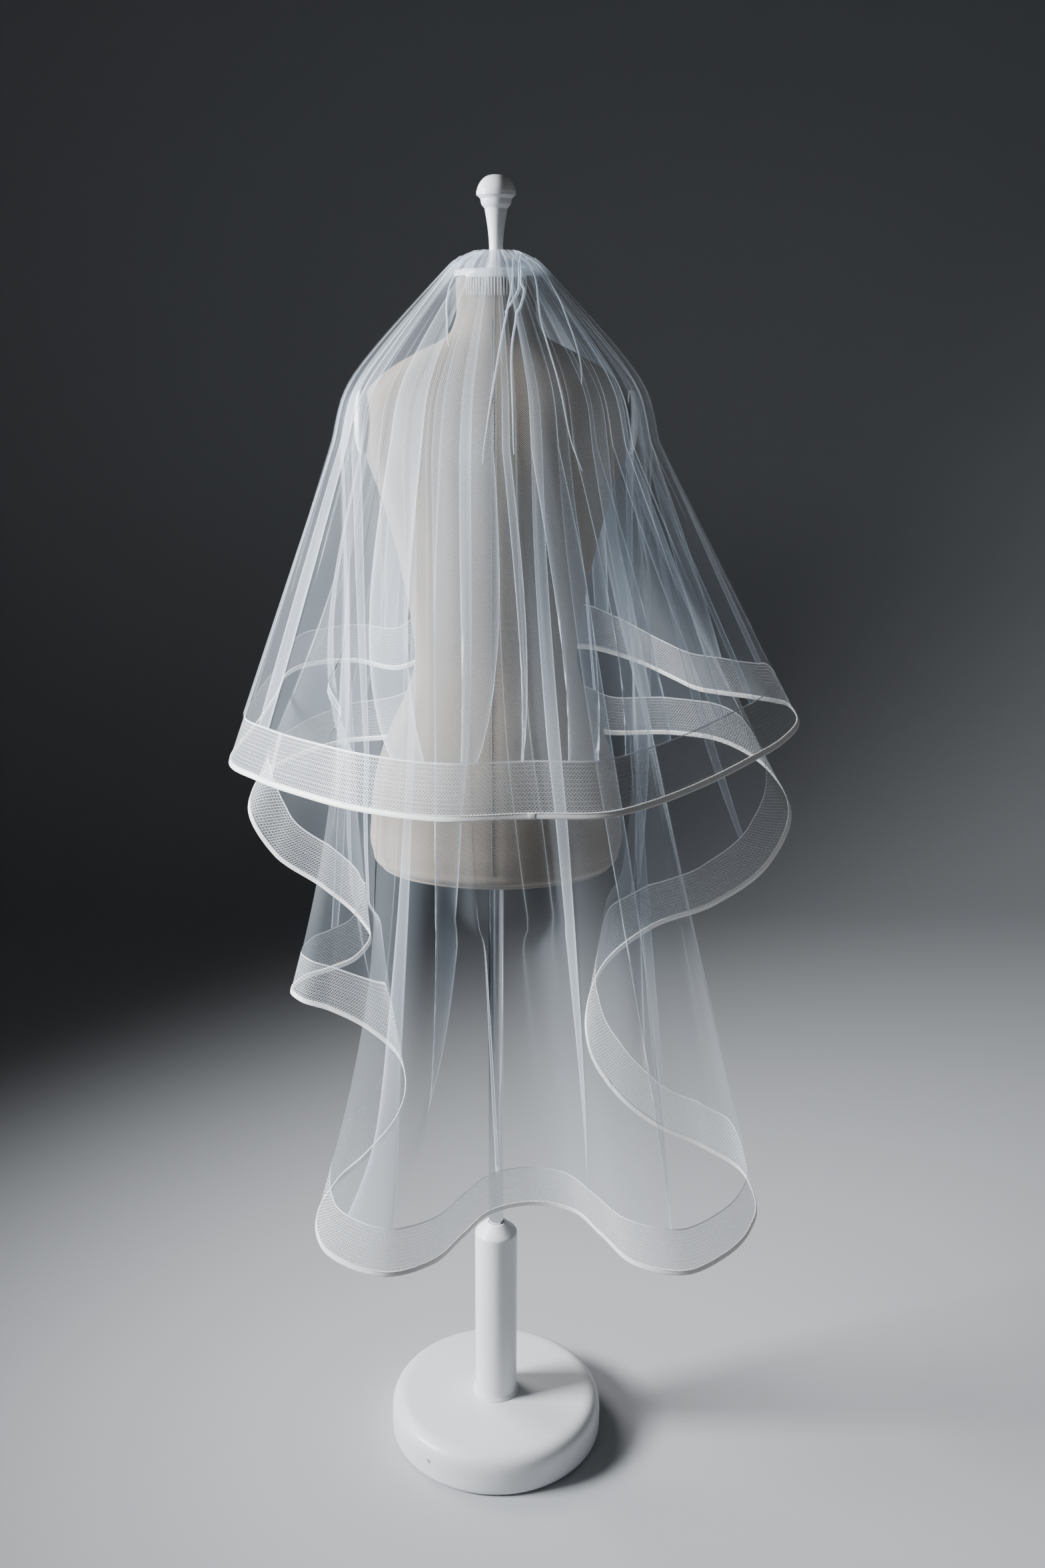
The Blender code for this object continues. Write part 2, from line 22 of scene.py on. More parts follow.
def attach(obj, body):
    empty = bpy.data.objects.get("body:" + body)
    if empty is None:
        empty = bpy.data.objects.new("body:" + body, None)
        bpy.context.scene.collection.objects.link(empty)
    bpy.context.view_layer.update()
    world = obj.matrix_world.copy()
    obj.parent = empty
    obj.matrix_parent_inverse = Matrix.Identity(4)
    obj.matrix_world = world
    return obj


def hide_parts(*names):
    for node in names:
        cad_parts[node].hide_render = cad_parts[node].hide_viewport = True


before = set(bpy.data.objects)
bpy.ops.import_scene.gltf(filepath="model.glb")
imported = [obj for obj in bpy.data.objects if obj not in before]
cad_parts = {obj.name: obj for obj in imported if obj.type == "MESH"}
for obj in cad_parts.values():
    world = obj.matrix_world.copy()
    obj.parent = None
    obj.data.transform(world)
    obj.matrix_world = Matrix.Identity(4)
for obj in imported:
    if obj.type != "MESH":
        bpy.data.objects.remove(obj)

LOG = logging.getLogger("bridal_veil")
ROOT = "root"

Rgb = tuple[float, float, float]
Place = tuple[float, float, float]
Points = np.ndarray
Mesh = bpy.types.Mesh
Material = bpy.types.Material
Piece = bpy.types.Object
Socket = bpy.types.NodeSocket
Tree = bpy.types.NodeTree


class Ring(NamedTuple):
    """One level of a tier's gathered top."""

    height: float
    side: float
    back: float
    front: float
    gather: float


class Hem(NamedTuple):
    """One place along a tier's edge, and how late the cloth above it swings out."""

    across: float
    ahead: float
    height: float
    flare: float = 1.0


class Girth(NamedTuple):
    """One level of the dress form."""

    height: float
    side: float
    back: float
    front: float


class Pleat(NamedTuple):
    """One fold laid over its neighbour: its place along the cloth, its width there, how deep it is at the
    chest and at the braid (under 1 it lies open), the side that it leans to, and how far it strays there."""

    share: float
    width: float
    chest: float
    seam: float
    lean: int
    stray: float = 0.0


def table(columns: type, rows: Sequence[tuple]) -> tuple:
    """Gives the rows of a table their named columns."""
    return tuple(columns(*row) for row in rows)


LOWER_RINGS = table(Ring, (
    (1.7190, 0.0265, 0.0260, 0.0250, 0.0004),
    (1.7085, 0.0450, 0.0450, 0.0420, 0.0010),
    (1.6930, 0.0620, 0.0585, 0.0560, 0.0015),
    (1.6000, 0.1450, 0.0980, 0.0900, 0.0035),
    (1.5460, 0.1845, 0.1150, 0.1070, 0.0030),
    (1.4850, 0.1985, 0.1300, 0.1250, 0.0040),
))
UPPER_RINGS = table(Ring, (
    (1.7202, 0.0276, 0.0271, 0.0261, 0.0004),
    (1.7108, 0.0472, 0.0472, 0.0442, 0.0010),
    (1.6960, 0.0655, 0.0620, 0.0595, 0.0015),
    (1.6060, 0.1515, 0.1050, 0.0970, 0.0035),
    (1.5520, 0.1910, 0.1240, 0.1160, 0.0030),
    (1.4900, 0.2085, 0.1440, 0.1390, 0.0045),
))

UPPER_HEM = table(Hem, (
    # Left front edge, and round to the fold at the left arm.
    (-0.080, 0.190, 1.180), (-0.142, 0.209, 1.150), (-0.214, 0.239, 1.155),
    (-0.270, 0.228, 1.153), (-0.303, 0.168, 1.150), (-0.311, 0.103, 1.133),
    # Left tip.
    (-0.331, 0.058, 1.104), (-0.352, 0.018, 1.082), (-0.357, -0.030, 1.075),
    # Back.
    (-0.304, -0.128, 1.075), (-0.242, -0.201, 1.077), (-0.161, -0.271, 1.078),
    (-0.064, -0.310, 1.078), (0.037, -0.300, 1.078), (0.142, -0.286, 1.077),
    (0.189, -0.260, 1.082), (0.248, -0.213, 1.090), (0.319, -0.151, 1.105),
    # Right tip.
    (0.374, -0.085, 1.115), (0.405, -0.020, 1.125), (0.403, 0.035, 1.133),
    # Hollow before the right arm, and round to the right front edge.
    (0.394, 0.100, 1.125), (0.366, 0.150, 1.120), (0.333, 0.172, 1.120), (0.300, 0.196, 1.121),
    (0.266, 0.236, 1.130), (0.225, 0.266, 1.145), (0.166, 0.266, 1.165), (0.095, 0.205, 1.185),
))
LOWER_HEM = table(Hem, (
    # Left front edge, and round to the tip of the first leaf.
    (-0.075, 0.165, 1.075, 1.2), (-0.150, 0.210, 1.045, 1.2), (-0.235, 0.235, 1.030, 1.2),
    (-0.310, 0.215, 1.010, 1.2), (-0.354, 0.170, 0.989, 1.2), (-0.363, 0.130, 0.958, 1.3),
    # First turn.
    (-0.327, 0.115, 0.894, 1.6), (-0.254, 0.105, 0.844, 2.0), (-0.198, 0.092, 0.796, 2.4),
    (-0.183, 0.078, 0.775, 2.4), (-0.201, 0.062, 0.752, 2.4), (-0.242, 0.054, 0.735, 2.4),
    # Tip of the second leaf.
    (-0.282, 0.045, 0.724, 2.4), (-0.296, 0.024, 0.716, 2.4), (-0.280, 0.003, 0.711, 2.4),
    # Second turn.
    (-0.238, -0.005, 0.700, 2.5), (-0.178, -0.010, 0.668, 2.6), (-0.135, -0.016, 0.622, 3.0),
    (-0.127, -0.036, 0.596, 3.0), (-0.135, -0.066, 0.566, 3.0), (-0.176, -0.088, 0.519, 3.0),
    # Left lobe.
    (-0.226, -0.100, 0.473, 2.9), (-0.251, -0.131, 0.440, 2.8), (-0.241, -0.165, 0.421, 2.6),
    (-0.200, -0.196, 0.409, 2.3), (-0.150, -0.208, 0.403, 2.0), (-0.085, -0.178, 0.403, 1.8),
    # Arch over the post.
    (-0.047, -0.120, 0.405, 1.8), (-0.008, -0.068, 0.410, 1.8), (0.051, -0.047, 0.412, 1.8),
    (0.110, -0.060, 0.409, 1.7), (0.148, -0.115, 0.405, 1.6), (0.188, -0.168, 0.395, 1.5),
    # Right lobe.
    (0.260, -0.182, 0.388, 1.3), (0.318, -0.148, 0.392, 1.15), (0.362, -0.090, 0.395, 1.1),
    (0.380, -0.035, 0.404, 1.1), (0.367, -0.002, 0.432, 1.2), (0.310, 0.012, 0.468, 1.4),
    # Third turn.
    (0.235, 0.013, 0.506, 1.6), (0.175, 0.018, 0.556, 1.75), (0.138, 0.040, 0.610, 1.85),
    (0.132, 0.066, 0.655, 1.85), (0.153, 0.086, 0.715, 1.75), (0.226, 0.090, 0.785, 1.6),
    # Right leaf, and round to the right front edge.
    (0.320, 0.088, 0.825, 1.4), (0.397, 0.093, 0.885, 1.3), (0.431, 0.122, 0.957, 1.2),
    (0.405, 0.160, 1.005, 1.1), (0.341, 0.196, 1.041, 1.1), (0.270, 0.225, 1.047, 1.1),
    (0.176, 0.245, 1.042, 1.1), (0.090, 0.190, 1.070, 1.1),
))
TORSO = table(Girth, (
    # Hips.
    (0.9150, 0.100, 0.070, 0.065), (0.918, 0.140, 0.096, 0.090), (0.926, 0.160, 0.111, 0.104),
    (0.945, 0.170, 0.119, 0.110), (0.990, 0.171, 0.122, 0.112), (1.057, 0.1625, 0.117, 0.108),
    # Waist.
    (1.115, 0.143, 0.104, 0.100), (1.170, 0.118, 0.088, 0.092), (1.205, 0.108, 0.082, 0.090),
    (1.250, 0.111, 0.083, 0.094), (1.310, 0.121, 0.088, 0.106), (1.370, 0.134, 0.094, 0.120),
    # Shoulders.
    (1.425, 0.150, 0.098, 0.120), (1.480, 0.168, 0.097, 0.104), (1.530, 0.169, 0.086, 0.082),
    (1.558, 0.160, 0.074, 0.066), (1.580, 0.135, 0.064, 0.056), (1.600, 0.100, 0.056, 0.049),
    # Neck.
    (1.618, 0.064, 0.051, 0.046), (1.639, 0.0515, 0.049, 0.046), (1.670, 0.0500, 0.048, 0.047),
    (1.6895, 0.0500, 0.049, 0.049),
))


class Shader(Enum):
    """The inputs of the Principled shader that the finishes set."""

    COLOUR = "Base Color"
    ROUGHNESS = "Roughness"
    METALLIC = "Metallic"
    ALPHA = "Alpha"
    NORMAL = "Normal"
    COAT = "Coat Weight"
    COAT_ROUGHNESS = "Coat Roughness"
    SHEEN = "Sheen Weight"
    SHEEN_ROUGHNESS = "Sheen Roughness"
    IOR = "IOR"


class SmoothTable:
    """A smooth curve through the rows of a table, one row at each knot."""

    def __init__(self, knots: Sequence[float], rows: Sequence) -> None:
        """Takes the knots and their rows.

        Args:
            knots: Rising positions of the rows.
            rows: The rows' numbers.
        """
        self.knots = np.asarray(knots, float)
        self.rows = np.asarray(rows, float)
        self.slopes = np.gradient(self.rows, self.knots, axis=0)

    def at(self, where: Points) -> Points:
        """Reads the row at each position, in a last axis of its own."""
        where = np.clip(where, self.knots[0], self.knots[-1])
        left = np.clip(np.searchsorted(self.knots, where, side="right") - 1, 0, len(self.knots) - 2)
        span = (self.knots[left + 1] - self.knots[left])[..., None]
        u = (where - self.knots[left])[..., None] / span
        start = (1 + 2 * u) * (1 - u) ** 2 * self.rows[left] + u * (1 - u) ** 2 * span * self.slopes[left]
        end = u**2 * (3 - 2 * u) * self.rows[left + 1] + u**2 * (u - 1) * span * self.slopes[left + 1]
        return start + end


def unit(vectors: Points) -> Points:
    """Returns the vectors at length 1."""
    return vectors / np.linalg.norm(vectors, axis=-1, keepdims=True)


def run_of(places: Points) -> Points:
    """Measures how far along a line of places each of them is."""
    return np.concatenate(([0.0], np.cumsum(np.linalg.norm(np.diff(places, axis=0), axis=1))))


def smoothstep(low: float, high: float, value: Points) -> Points:
    """Returns 0 below low, 1 above high and a smooth rise between them."""
    part = np.clip((value - low) / (high - low), 0, 1)
    return part * part * (3 - 2 * part)


def grid_mesh(name: str, places: Points, uv: Points, closed: bool = False) -> Mesh:
    """Makes a mesh from a grid of places.

    Args:
        name: The mesh's name.
        places: Places by column and row.
        uv: The UV of each place, in metres.
        closed: Whether the last row joins the first, as round a tube.

    Returns:
        The mesh, smooth, with its UV map.
    """
    columns, rows = places.shape[:2]
    index = np.arange(columns * rows).reshape(columns, rows)
    right = np.roll(index, -1, axis=1) if closed else index[:, 1:]
    left = index if closed else index[:, :-1]
    faces = np.stack([left[:-1], right[:-1], right[1:], left[1:]], -1).reshape(-1, 4)
    mesh = bpy.data.meshes.new(name)
    mesh.from_pydata(places.reshape(-1, 3).tolist(), [], faces.tolist())
    layer = mesh.uv_layers.new(name="metres")
    corners = np.empty(len(mesh.loops), dtype=np.int32)
    mesh.loops.foreach_get("vertex_index", corners)
    layer.data.foreach_set("uv", uv.reshape(-1, 2)[corners].astype(np.float32).ravel())
    mesh.shade_smooth()
    return mesh


def add_values(mesh: Mesh, **values: Points) -> None:
    """Stores one number, or one vector, for each of a mesh's points under each name."""
    for label, value in values.items():
        vector = value.ndim > 1 and value.shape[-1] == 3 and value.size == 3 * len(mesh.vertices)
        kind, field = ("FLOAT_VECTOR", "vector") if vector else ("FLOAT", "value")
        mesh.attributes.new(label, kind, "POINT").data.foreach_set(field, value.ravel().astype(np.float32))


def joined(name: str, meshes: Sequence[Mesh]) -> Mesh:
    """Joins meshes into one, and removes them."""
    shape = bmesh.new()
    for mesh in meshes:
        shape.from_mesh(mesh)
    result = finished(name, shape)
    for mesh in meshes:
        bpy.data.meshes.remove(mesh)
    return result


def finished(name: str, shape: bmesh.types.BMesh, sharp: float | None = None) -> Mesh:
    """Turns a shape into a mesh, smooth up to this angle in degrees where one is given."""
    mesh = bpy.data.meshes.new(name)
    shape.to_mesh(mesh)
    shape.free()
    if sharp is not None:
        mesh.shade_smooth()
        mesh.set_sharp_from_angle(angle=math.radians(sharp))
    return mesh


def place_piece(
    name: str, mesh: Mesh, material: Material, node: str = ""
) -> Piece:
    """Puts a mesh in the scene as a piece of the object.

    Args:
        name: The piece's name.
        mesh: Its mesh, in the row's frame.
        material: Its finish.
        node: The CAD node that it stands for, if any.

    Returns:
        The object, riding on the row's one body.
    """
    thing = bpy.data.objects.new(name, mesh)
    bpy.context.scene.collection.objects.link(thing)
    mesh.materials.clear()
    mesh.materials.append(material)
    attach(thing, ROOT)
    if node:
        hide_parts(node)
    LOG.info("%s: %d faces", name, len(mesh.polygons))
    return thing


class Graph:
    """Adds nodes to a node tree and joins them."""

    SOCKETS = {float: "NodeSocketFloat", int: "NodeSocketInt", tuple: "NodeSocketVector"}

    def __init__(self, tree: Tree) -> None:
        """Takes the tree to add to."""
        self.tree = tree

    def take(self, sizes: dict[str, float | int | tuple]) -> dict[str, Socket]:
        """Gives the tree named inputs with their usual values, and returns them."""
        for label, usual in sizes.items():
            kind = self.SOCKETS[type(usual)]
            socket = self.tree.interface.new_socket(label, in_out="INPUT", socket_type=kind)
            socket.default_value = usual
        return {socket.name: socket for socket in self.tree.nodes.new("NodeGroupInput").outputs}

    def add(self, kind: str, inputs: dict | None = None, **settings: object) -> bpy.types.Node:
        """Adds a node.

        Args:
            kind: The node's type.
            inputs: Sockets or values for its inputs, by name or number.
            **settings: The node's own settings.

        Returns:
            The node.
        """
        node = self.tree.nodes.new(kind)
        for key, value in settings.items():
            setattr(node, key, value)
        for key, value in (inputs or {}).items():
            self.feed(node.inputs[key], value)
        return node

    def first(self, kind: str, inputs: dict | None = None, **settings: object) -> Socket:
        """Adds a node and returns its first output."""
        return self.add(kind, inputs, **settings).outputs[0]

    def feed(self, socket: Socket, value: object) -> None:
        """Links a socket to an input, or sets the input's own value. A colour needs no alpha."""
        if isinstance(value, Socket):
            self.tree.links.new(value, socket)
        elif socket.type == "RGBA":
            socket.default_value = (*value, 1.0)
        else:
            socket.default_value = value

    def math(self, operation: str, *values: object) -> Socket:
        """Adds a Math node and returns its result."""
        return self.first("ShaderNodeMath", dict(enumerate(values)), operation=operation)

    def mix(self, share: object, one: object, two: object) -> Socket:
        """Mixes two colours by a share and returns the result."""
        return self.add("ShaderNodeMix", {0: share, 6: one, 7: two}, data_type="RGBA").outputs[2]

    def span(self, value: object, low: float, high: float) -> Socket:
        """Maps 0 to 1 onto low to high and returns the result."""
        return self.math("MULTIPLY_ADD", value, high - low, low)

    def part(self, vector: Socket, axis: int) -> Socket:
        """Returns one part of a vector, or of a place on a UV map."""
        return self.add("ShaderNodeSeparateXYZ", {0: vector}).outputs[axis]


class ShapeTree(Graph):
    """A tree of Geometry Nodes with named inputs, which ends in realized instances of one material."""

    def __init__(self, name: str, sizes: dict[str, float | int]) -> None:
        """Starts the tree.

        Args:
            name: The tree's name.
            sizes: The usual value of each input, by its name.
        """
        super().__init__(bpy.data.node_groups.new(name, "GeometryNodeTree"))
        for label, way in (("Geometry", "INPUT"), ("Material", "INPUT"), ("Geometry", "OUTPUT")):
            self.tree.interface.new_socket(label, in_out=way, socket_type=f"NodeSocket{label}")
        self.given = self.take(sizes)

    def end(self, geometry: Socket) -> None:
        """Realizes the instances, gives them the material and puts them out."""
        real = self.first("GeometryNodeRealizeInstances", {"Geometry": geometry})
        material = self.given["Material"]
        dressed = self.first("GeometryNodeSetMaterial", {"Geometry": real, "Material": material})
        self.feed(self.tree.nodes.new("NodeGroupOutput").inputs[0], dressed)

    def run(self, name: str, mesh: Mesh, material: Material, **values: object) -> Mesh:
        """Runs the tree on a mesh.

        Args:
            name: The result's name.
            mesh: The mesh that the tree starts from. It is removed.
            material: The result's finish.
            **values: The tree's inputs, by name with _ for each space.

        Returns:
            The result as a plain mesh.
        """
        thing = bpy.data.objects.new(name, mesh)
        bpy.context.scene.collection.objects.link(thing)
        modifier = thing.modifiers.new(name, "NODES")
        modifier.node_group = self.tree
        wanted = {key.replace("_", " "): value for key, value in values.items()} | {"Material": material}
        for item in self.tree.interface.items_tree:
            if item.in_out == "INPUT" and item.name in wanted:
                modifier[item.identifier] = wanted[item.name]
        result = bpy.data.meshes.new_from_object(thing.evaluated_get(bpy.context.evaluated_depsgraph_get()))
        result.name = name
        bpy.data.objects.remove(thing)
        bpy.data.meshes.remove(mesh)
        return result


class Stitches(ShapeTree):
    """The tree that sets a stitch on each point of a mesh, turned to one side and the other in turn."""

    def __init__(self) -> None:
        """Builds the tree."""
        super().__init__("stitches", {"Stitch Length": 0.0024, "Thread": 0.0003, "Slant": 0.8})
        given = self.given
        along, across = (
            self.first("GeometryNodeInputNamedAttribute", {"Name": label}, data_type="FLOAT_VECTOR")
            for label in ("along", "across")
        )
        odd = self.math("MODULO", self.first("GeometryNodeInputIndex"), 2.0)
        turn = self.math("MULTIPLY", self.math("MULTIPLY_ADD", odd, 2.0, -1.0), given["Slant"])
        aside = self.first("ShaderNodeVectorMath", {0: across, 3: turn}, operation="SCALE")
        way = self.first("ShaderNodeVectorMath", {0: along, 1: aside}, operation="ADD")
        rotation = self.first("FunctionNodeAlignRotationToVector", {"Vector": way}, axis="Z")
        sizes = {"Vertices": 5, "Radius": given["Thread"], "Depth": given["Stitch Length"]}
        thread = self.first("GeometryNodeMeshCylinder", sizes)
        laid = {"Points": given["Geometry"], "Instance": thread, "Rotation": rotation}
        self.end(self.first("GeometryNodeInstanceOnPoints", laid))

    def sew(self, name: str, places: Points, out: Points, material: Material, **sizes: float) -> Mesh:
        """Sews a row of stitches.

        Args:
            name: The row's name.
            places: The middle of each stitch, in their order.
            out: The way that the cloth faces there.
            material: The thread's finish.
            **sizes: The tree's inputs.

        Returns:
            The stitches as one mesh.
        """
        along = unit(np.gradient(places, axis=0))
        mesh = bpy.data.meshes.new("stitch places")
        mesh.from_pydata(places.tolist(), [], [])
        add_values(mesh, along=along, across=np.cross(out, along))
        return self.run(name, mesh, material, **sizes)


class CombShape(ShapeTree):
    """The tree that bends a comb's spine round an arc and sets tapered teeth below it."""

    SPINE_CORNER = 0.0006
    TOOTH_TIP = 0.45

    def __init__(self) -> None:
        """Builds the tree."""
        super().__init__("comb", {
            "Bend": 0.054, "Sweep": 1.5, "Teeth": 22, "Tooth Length": 0.021, "Tooth Radius": 0.0009,
            "Spine Wall": 0.0018, "Spine Depth": 0.005, "Top": 1.692,
        })
        given = self.given
        start = self.math("MULTIPLY_ADD", given["Sweep"], -0.5, -math.pi / 2)
        sizes = {"Radius": given["Bend"], "Start Angle": start, "Sweep Angle": given["Sweep"]}
        arc = self.first("GeometryNodeCurveArc", {"Resolution": 64, **sizes})
        sizes = {"Width": given["Spine Wall"], "Height": given["Spine Depth"]}
        section = self.first("GeometryNodeCurvePrimitiveQuadrilateral", sizes)
        sizes = {"Curve": section, "Radius": self.SPINE_CORNER}
        soft = self.first("GeometryNodeFilletCurve", sizes, mode="POLY")
        sizes = {"Curve": arc, "Profile Curve": soft, "Fill Caps": True}
        spine = self.first("GeometryNodeCurveToMesh", sizes)
        tip = self.math("MULTIPLY", given["Tooth Radius"], self.TOOTH_TIP)
        sizes = {"Radius Top": tip, "Radius Bottom": given["Tooth Radius"], "Depth": given["Tooth Length"]}
        tooth = self.first("GeometryNodeMeshCone", {"Vertices": 8, **sizes})
        hung = self.first("GeometryNodeTransform", {"Geometry": tooth, "Rotation": (math.pi, 0.0, 0.0)})
        points = self.first("GeometryNodeResampleCurve", {"Curve": arc, "Count": given["Teeth"]})
        teeth = self.first("GeometryNodeInstanceOnPoints", {"Points": points, "Instance": hung})
        both = self.add("GeometryNodeJoinGeometry")
        for shape in (spine, teeth):
            self.feed(both.inputs[0], shape)
        half = self.math("MULTIPLY_ADD", given["Spine Depth"], -0.5, given["Top"])
        raised = self.first("ShaderNodeCombineXYZ", {2: half})
        self.end(self.first("GeometryNodeTransform", {"Geometry": both.outputs[0], "Translation": raised}))


class SurfaceGroup(Graph):
    """A shader node group that several finishes use."""

    def __init__(self, name: str, sizes: dict[str, float | tuple], outputs: Sequence[str]) -> None:
        """Starts the group.

        Args:
            name: The group's name.
            sizes: The usual value of each input, by its name.
            outputs: The name of each output, all of them single values.
        """
        super().__init__(bpy.data.node_groups.new(name, "ShaderNodeTree"))
        self.given = self.take({"Vector": (0.0, 0.0, 0.0)} | sizes)
        for label in outputs:
            self.tree.interface.new_socket(label, in_out="OUTPUT", socket_type="NodeSocketFloat")
        self.result = self.tree.nodes.new("NodeGroupOutput").inputs


def strands_group() -> Tree:
    """Builds the group that draws crossing strands: those of a net, an open braid or a weave."""
    group = SurfaceGroup("crossing strands", {"Pitch": 0.001, "Strand": 0.3, "Slant": 1.0}, ("Mask", "Over"))
    given = group.given
    along = group.math("MULTIPLY", group.part(given["Vector"], 0), given["Slant"])
    up = group.part(given["Vector"], 1)
    masks = []
    for operation in ("ADD", "SUBTRACT"):
        turns = group.math("DIVIDE", group.math(operation, along, up), given["Pitch"])
        wave = group.math("PINGPONG", turns, 0.5)
        masks.append(group.math("LESS_THAN", group.math("MULTIPLY", wave, 2.0), given["Strand"]))
    group.feed(group.result["Mask"], group.math("MAXIMUM", *masks))
    group.feed(group.result["Over"], group.math("MULTIPLY", *masks))
    return group.tree


def mottle_group() -> Tree:
    """Builds the group that varies a surface softly: broad patches and fine grain."""
    group = SurfaceGroup("soft variation", {"Patch Scale": 6.0, "Grain Scale": 400.0}, ("Patches", "Grain"))
    for label, scale, detail in (("Patches", "Patch Scale", 3.0), ("Grain", "Grain Scale", 2.0)):
        inputs = {"Vector": group.given["Vector"], "Scale": group.given[scale], "Detail": detail}
        group.feed(group.result[label], group.first("ShaderNodeTexNoise", inputs))
    return group.tree


class Groups:
    """The shader node groups that the finishes share, each built once."""

    def __init__(self) -> None:
        """Builds the groups."""
        self.strands = strands_group()
        self.mottle = mottle_group()


class Surface(Graph):
    """A material on a Principled shader, with the nodes that the finishes share."""

    def __init__(self, name: str, groups: Groups | None = None) -> None:
        """Starts the material, with the shared node groups where its finish uses them."""
        self.material = bpy.data.materials.new(name)
        self.material.use_nodes = True
        super().__init__(self.material.node_tree)
        self.groups = groups

    def set(self, values: dict[Shader, object]) -> None:
        """Sets or feeds the shader's own sockets."""
        for socket, value in values.items():
            self.feed(self.tree.nodes["Principled BSDF"].inputs[socket.value], value)

    def metres(self) -> Socket:
        """Returns the place on the piece's UV map, in metres."""
        return self.first("ShaderNodeUVMap", uv_map="metres")

    def place(self) -> Socket:
        """Returns the place in the row's frame."""
        return self.add("ShaderNodeTexCoord").outputs["Object"]

    def attribute(self, name: str) -> Socket:
        """Returns the number that the mesh stores under this name."""
        return self.add("ShaderNodeAttribute", attribute_name=name).outputs["Fac"]

    def strands(self, vector: Socket, pitch: float, strand: float, slant: float = 1.0) -> dict:
        """Places the group of crossing strands and returns its outputs."""
        inputs = {"Vector": vector, "Pitch": pitch, "Strand": strand, "Slant": slant}
        return self.add("ShaderNodeGroup", inputs, node_tree=self.groups.strands).outputs

    def mottle(self, vector: Socket, patches: float = 6.0, grain: float = 400.0) -> dict:
        """Places the group of soft variation and returns its outputs."""
        inputs = {"Vector": vector, "Patch Scale": patches, "Grain Scale": grain}
        return self.add("ShaderNodeGroup", inputs, node_tree=self.groups.mottle).outputs

    def bump(self, height: Socket, strength: float, distance: float) -> Socket:
        """Returns the normal of a surface raised by this height."""
        return self.first("ShaderNodeBump", {"Strength": strength, "Distance": distance, "Height": height})


def dimmed(colour: Rgb, share: float) -> Rgb:
    """Returns a colour at this share of its brightness."""
    return tuple(part * share for part in colour)


@dataclass(frozen=True)
class Finish:
    """A finish of this name and main colour."""

    name: str
    colour: Rgb

    def material(self, groups: Groups) -> Material:
        """Builds the material from the shared groups."""
        surface = Surface(self.name, groups)
        self.dress(surface)
        return surface.material

    def dress(self, surface: Surface) -> None:
        """Gives the surface its nodes and values. Each finish has its own way."""
        raise NotImplementedError


@dataclass(frozen=True)
class Tulle(Finish):
    """Fine sheer net, denser where it is creased: partly the real extra net at a fold's turn, partly a
    painted highlight along the folds.

    Attributes:
        light: The threads' colour where they catch more light.
        cover: How much of the view one layer covers.
        crease_glint_cover: How much more it covers on a crease, partly real extra net and partly a painted
            highlight line.
        pitch: The spacing of the net, in metres.
        thread: How much of the spacing a thread takes.
    """

    light: Rgb
    cover: float
    crease_glint_cover: float
    pitch: float = 0.0016
    thread: float = 0.34

    def dress(self, surface: Surface) -> None:
        """Gives the surface its nodes and values."""
        surface.set({Shader.ROUGHNESS: 0.62, Shader.SHEEN: 0.6, Shader.SHEEN_ROUGHNESS: 0.35})
        uv = surface.metres()
        patches = surface.mottle(uv)["Patches"]
        cover = surface.math("MULTIPLY_ADD", surface.strands(uv, self.pitch, self.thread)["Mask"], 0.9, 0.45)
        cover = surface.math("MULTIPLY", cover, surface.span(patches, 0.8, 1.2))
        open_share = surface.math("MULTIPLY_ADD", cover, -self.cover, 1.0)
        open_share = surface.math("POWER", open_share, surface.attribute("layers"))
        # Creases cover more: partly the real extra net of a fold's turn, partly a painted highlight line.
        uncreased = surface.math("MULTIPLY_ADD", surface.attribute("crease"), -self.crease_glint_cover, 1.0)
        alpha = surface.math("SUBTRACT", 1.0, surface.math("MULTIPLY", open_share, uncreased))
        surface.set({Shader.ALPHA: alpha, Shader.COLOUR: surface.mix(patches, self.colour, self.light)})


@dataclass(frozen=True)
class OpenBraid(Finish):
    """Stiff open horsehair braid: slanted strands, lines along it, and a bright seam at its top.

    Attributes:
        cover: How much the gaps between strands still cover.
        strand_cover: How much a strand covers.
        pitch: The spacing of the slanted strands, in metres.
        line_pitch: The spacing of the lines.
        width: The braid's width.
        seam: The seam's width.
        seam_cover: How much more the seam covers.
    """

    cover: float
    strand_cover: float
    pitch: float = 0.0046
    line_pitch: float = 0.0052
    width: float = 0.068
    seam: float = 0.0015
    seam_cover: float = 0.42

    def dress(self, surface: Surface) -> None:
        """Gives the surface its nodes and values."""
        surface.set({Shader.ROUGHNESS: 0.38, Shader.COLOUR: self.colour})
        uv = surface.metres()
        height = surface.part(uv, 1)
        wave = surface.math("PINGPONG", surface.math("DIVIDE", height, self.line_pitch), 0.5)
        slanted = surface.strands(uv, self.pitch, strand=0.26, slant=1.1)["Mask"]
        mask = surface.math("MAXIMUM", slanted, surface.math("LESS_THAN", wave, 0.07))
        patches = surface.mottle(uv, patches=9.0, grain=300.0)["Patches"]
        mask = surface.math("MULTIPLY", mask, surface.span(patches, 0.55, 1.25))
        seam = surface.math("GREATER_THAN", height, self.width - self.seam)
        cover = surface.span(mask, self.cover, self.strand_cover)
        cover = surface.math("MULTIPLY_ADD", seam, self.seam_cover, cover)
        surface.set({Shader.ALPHA: surface.math("MINIMUM", cover, 1.0)})


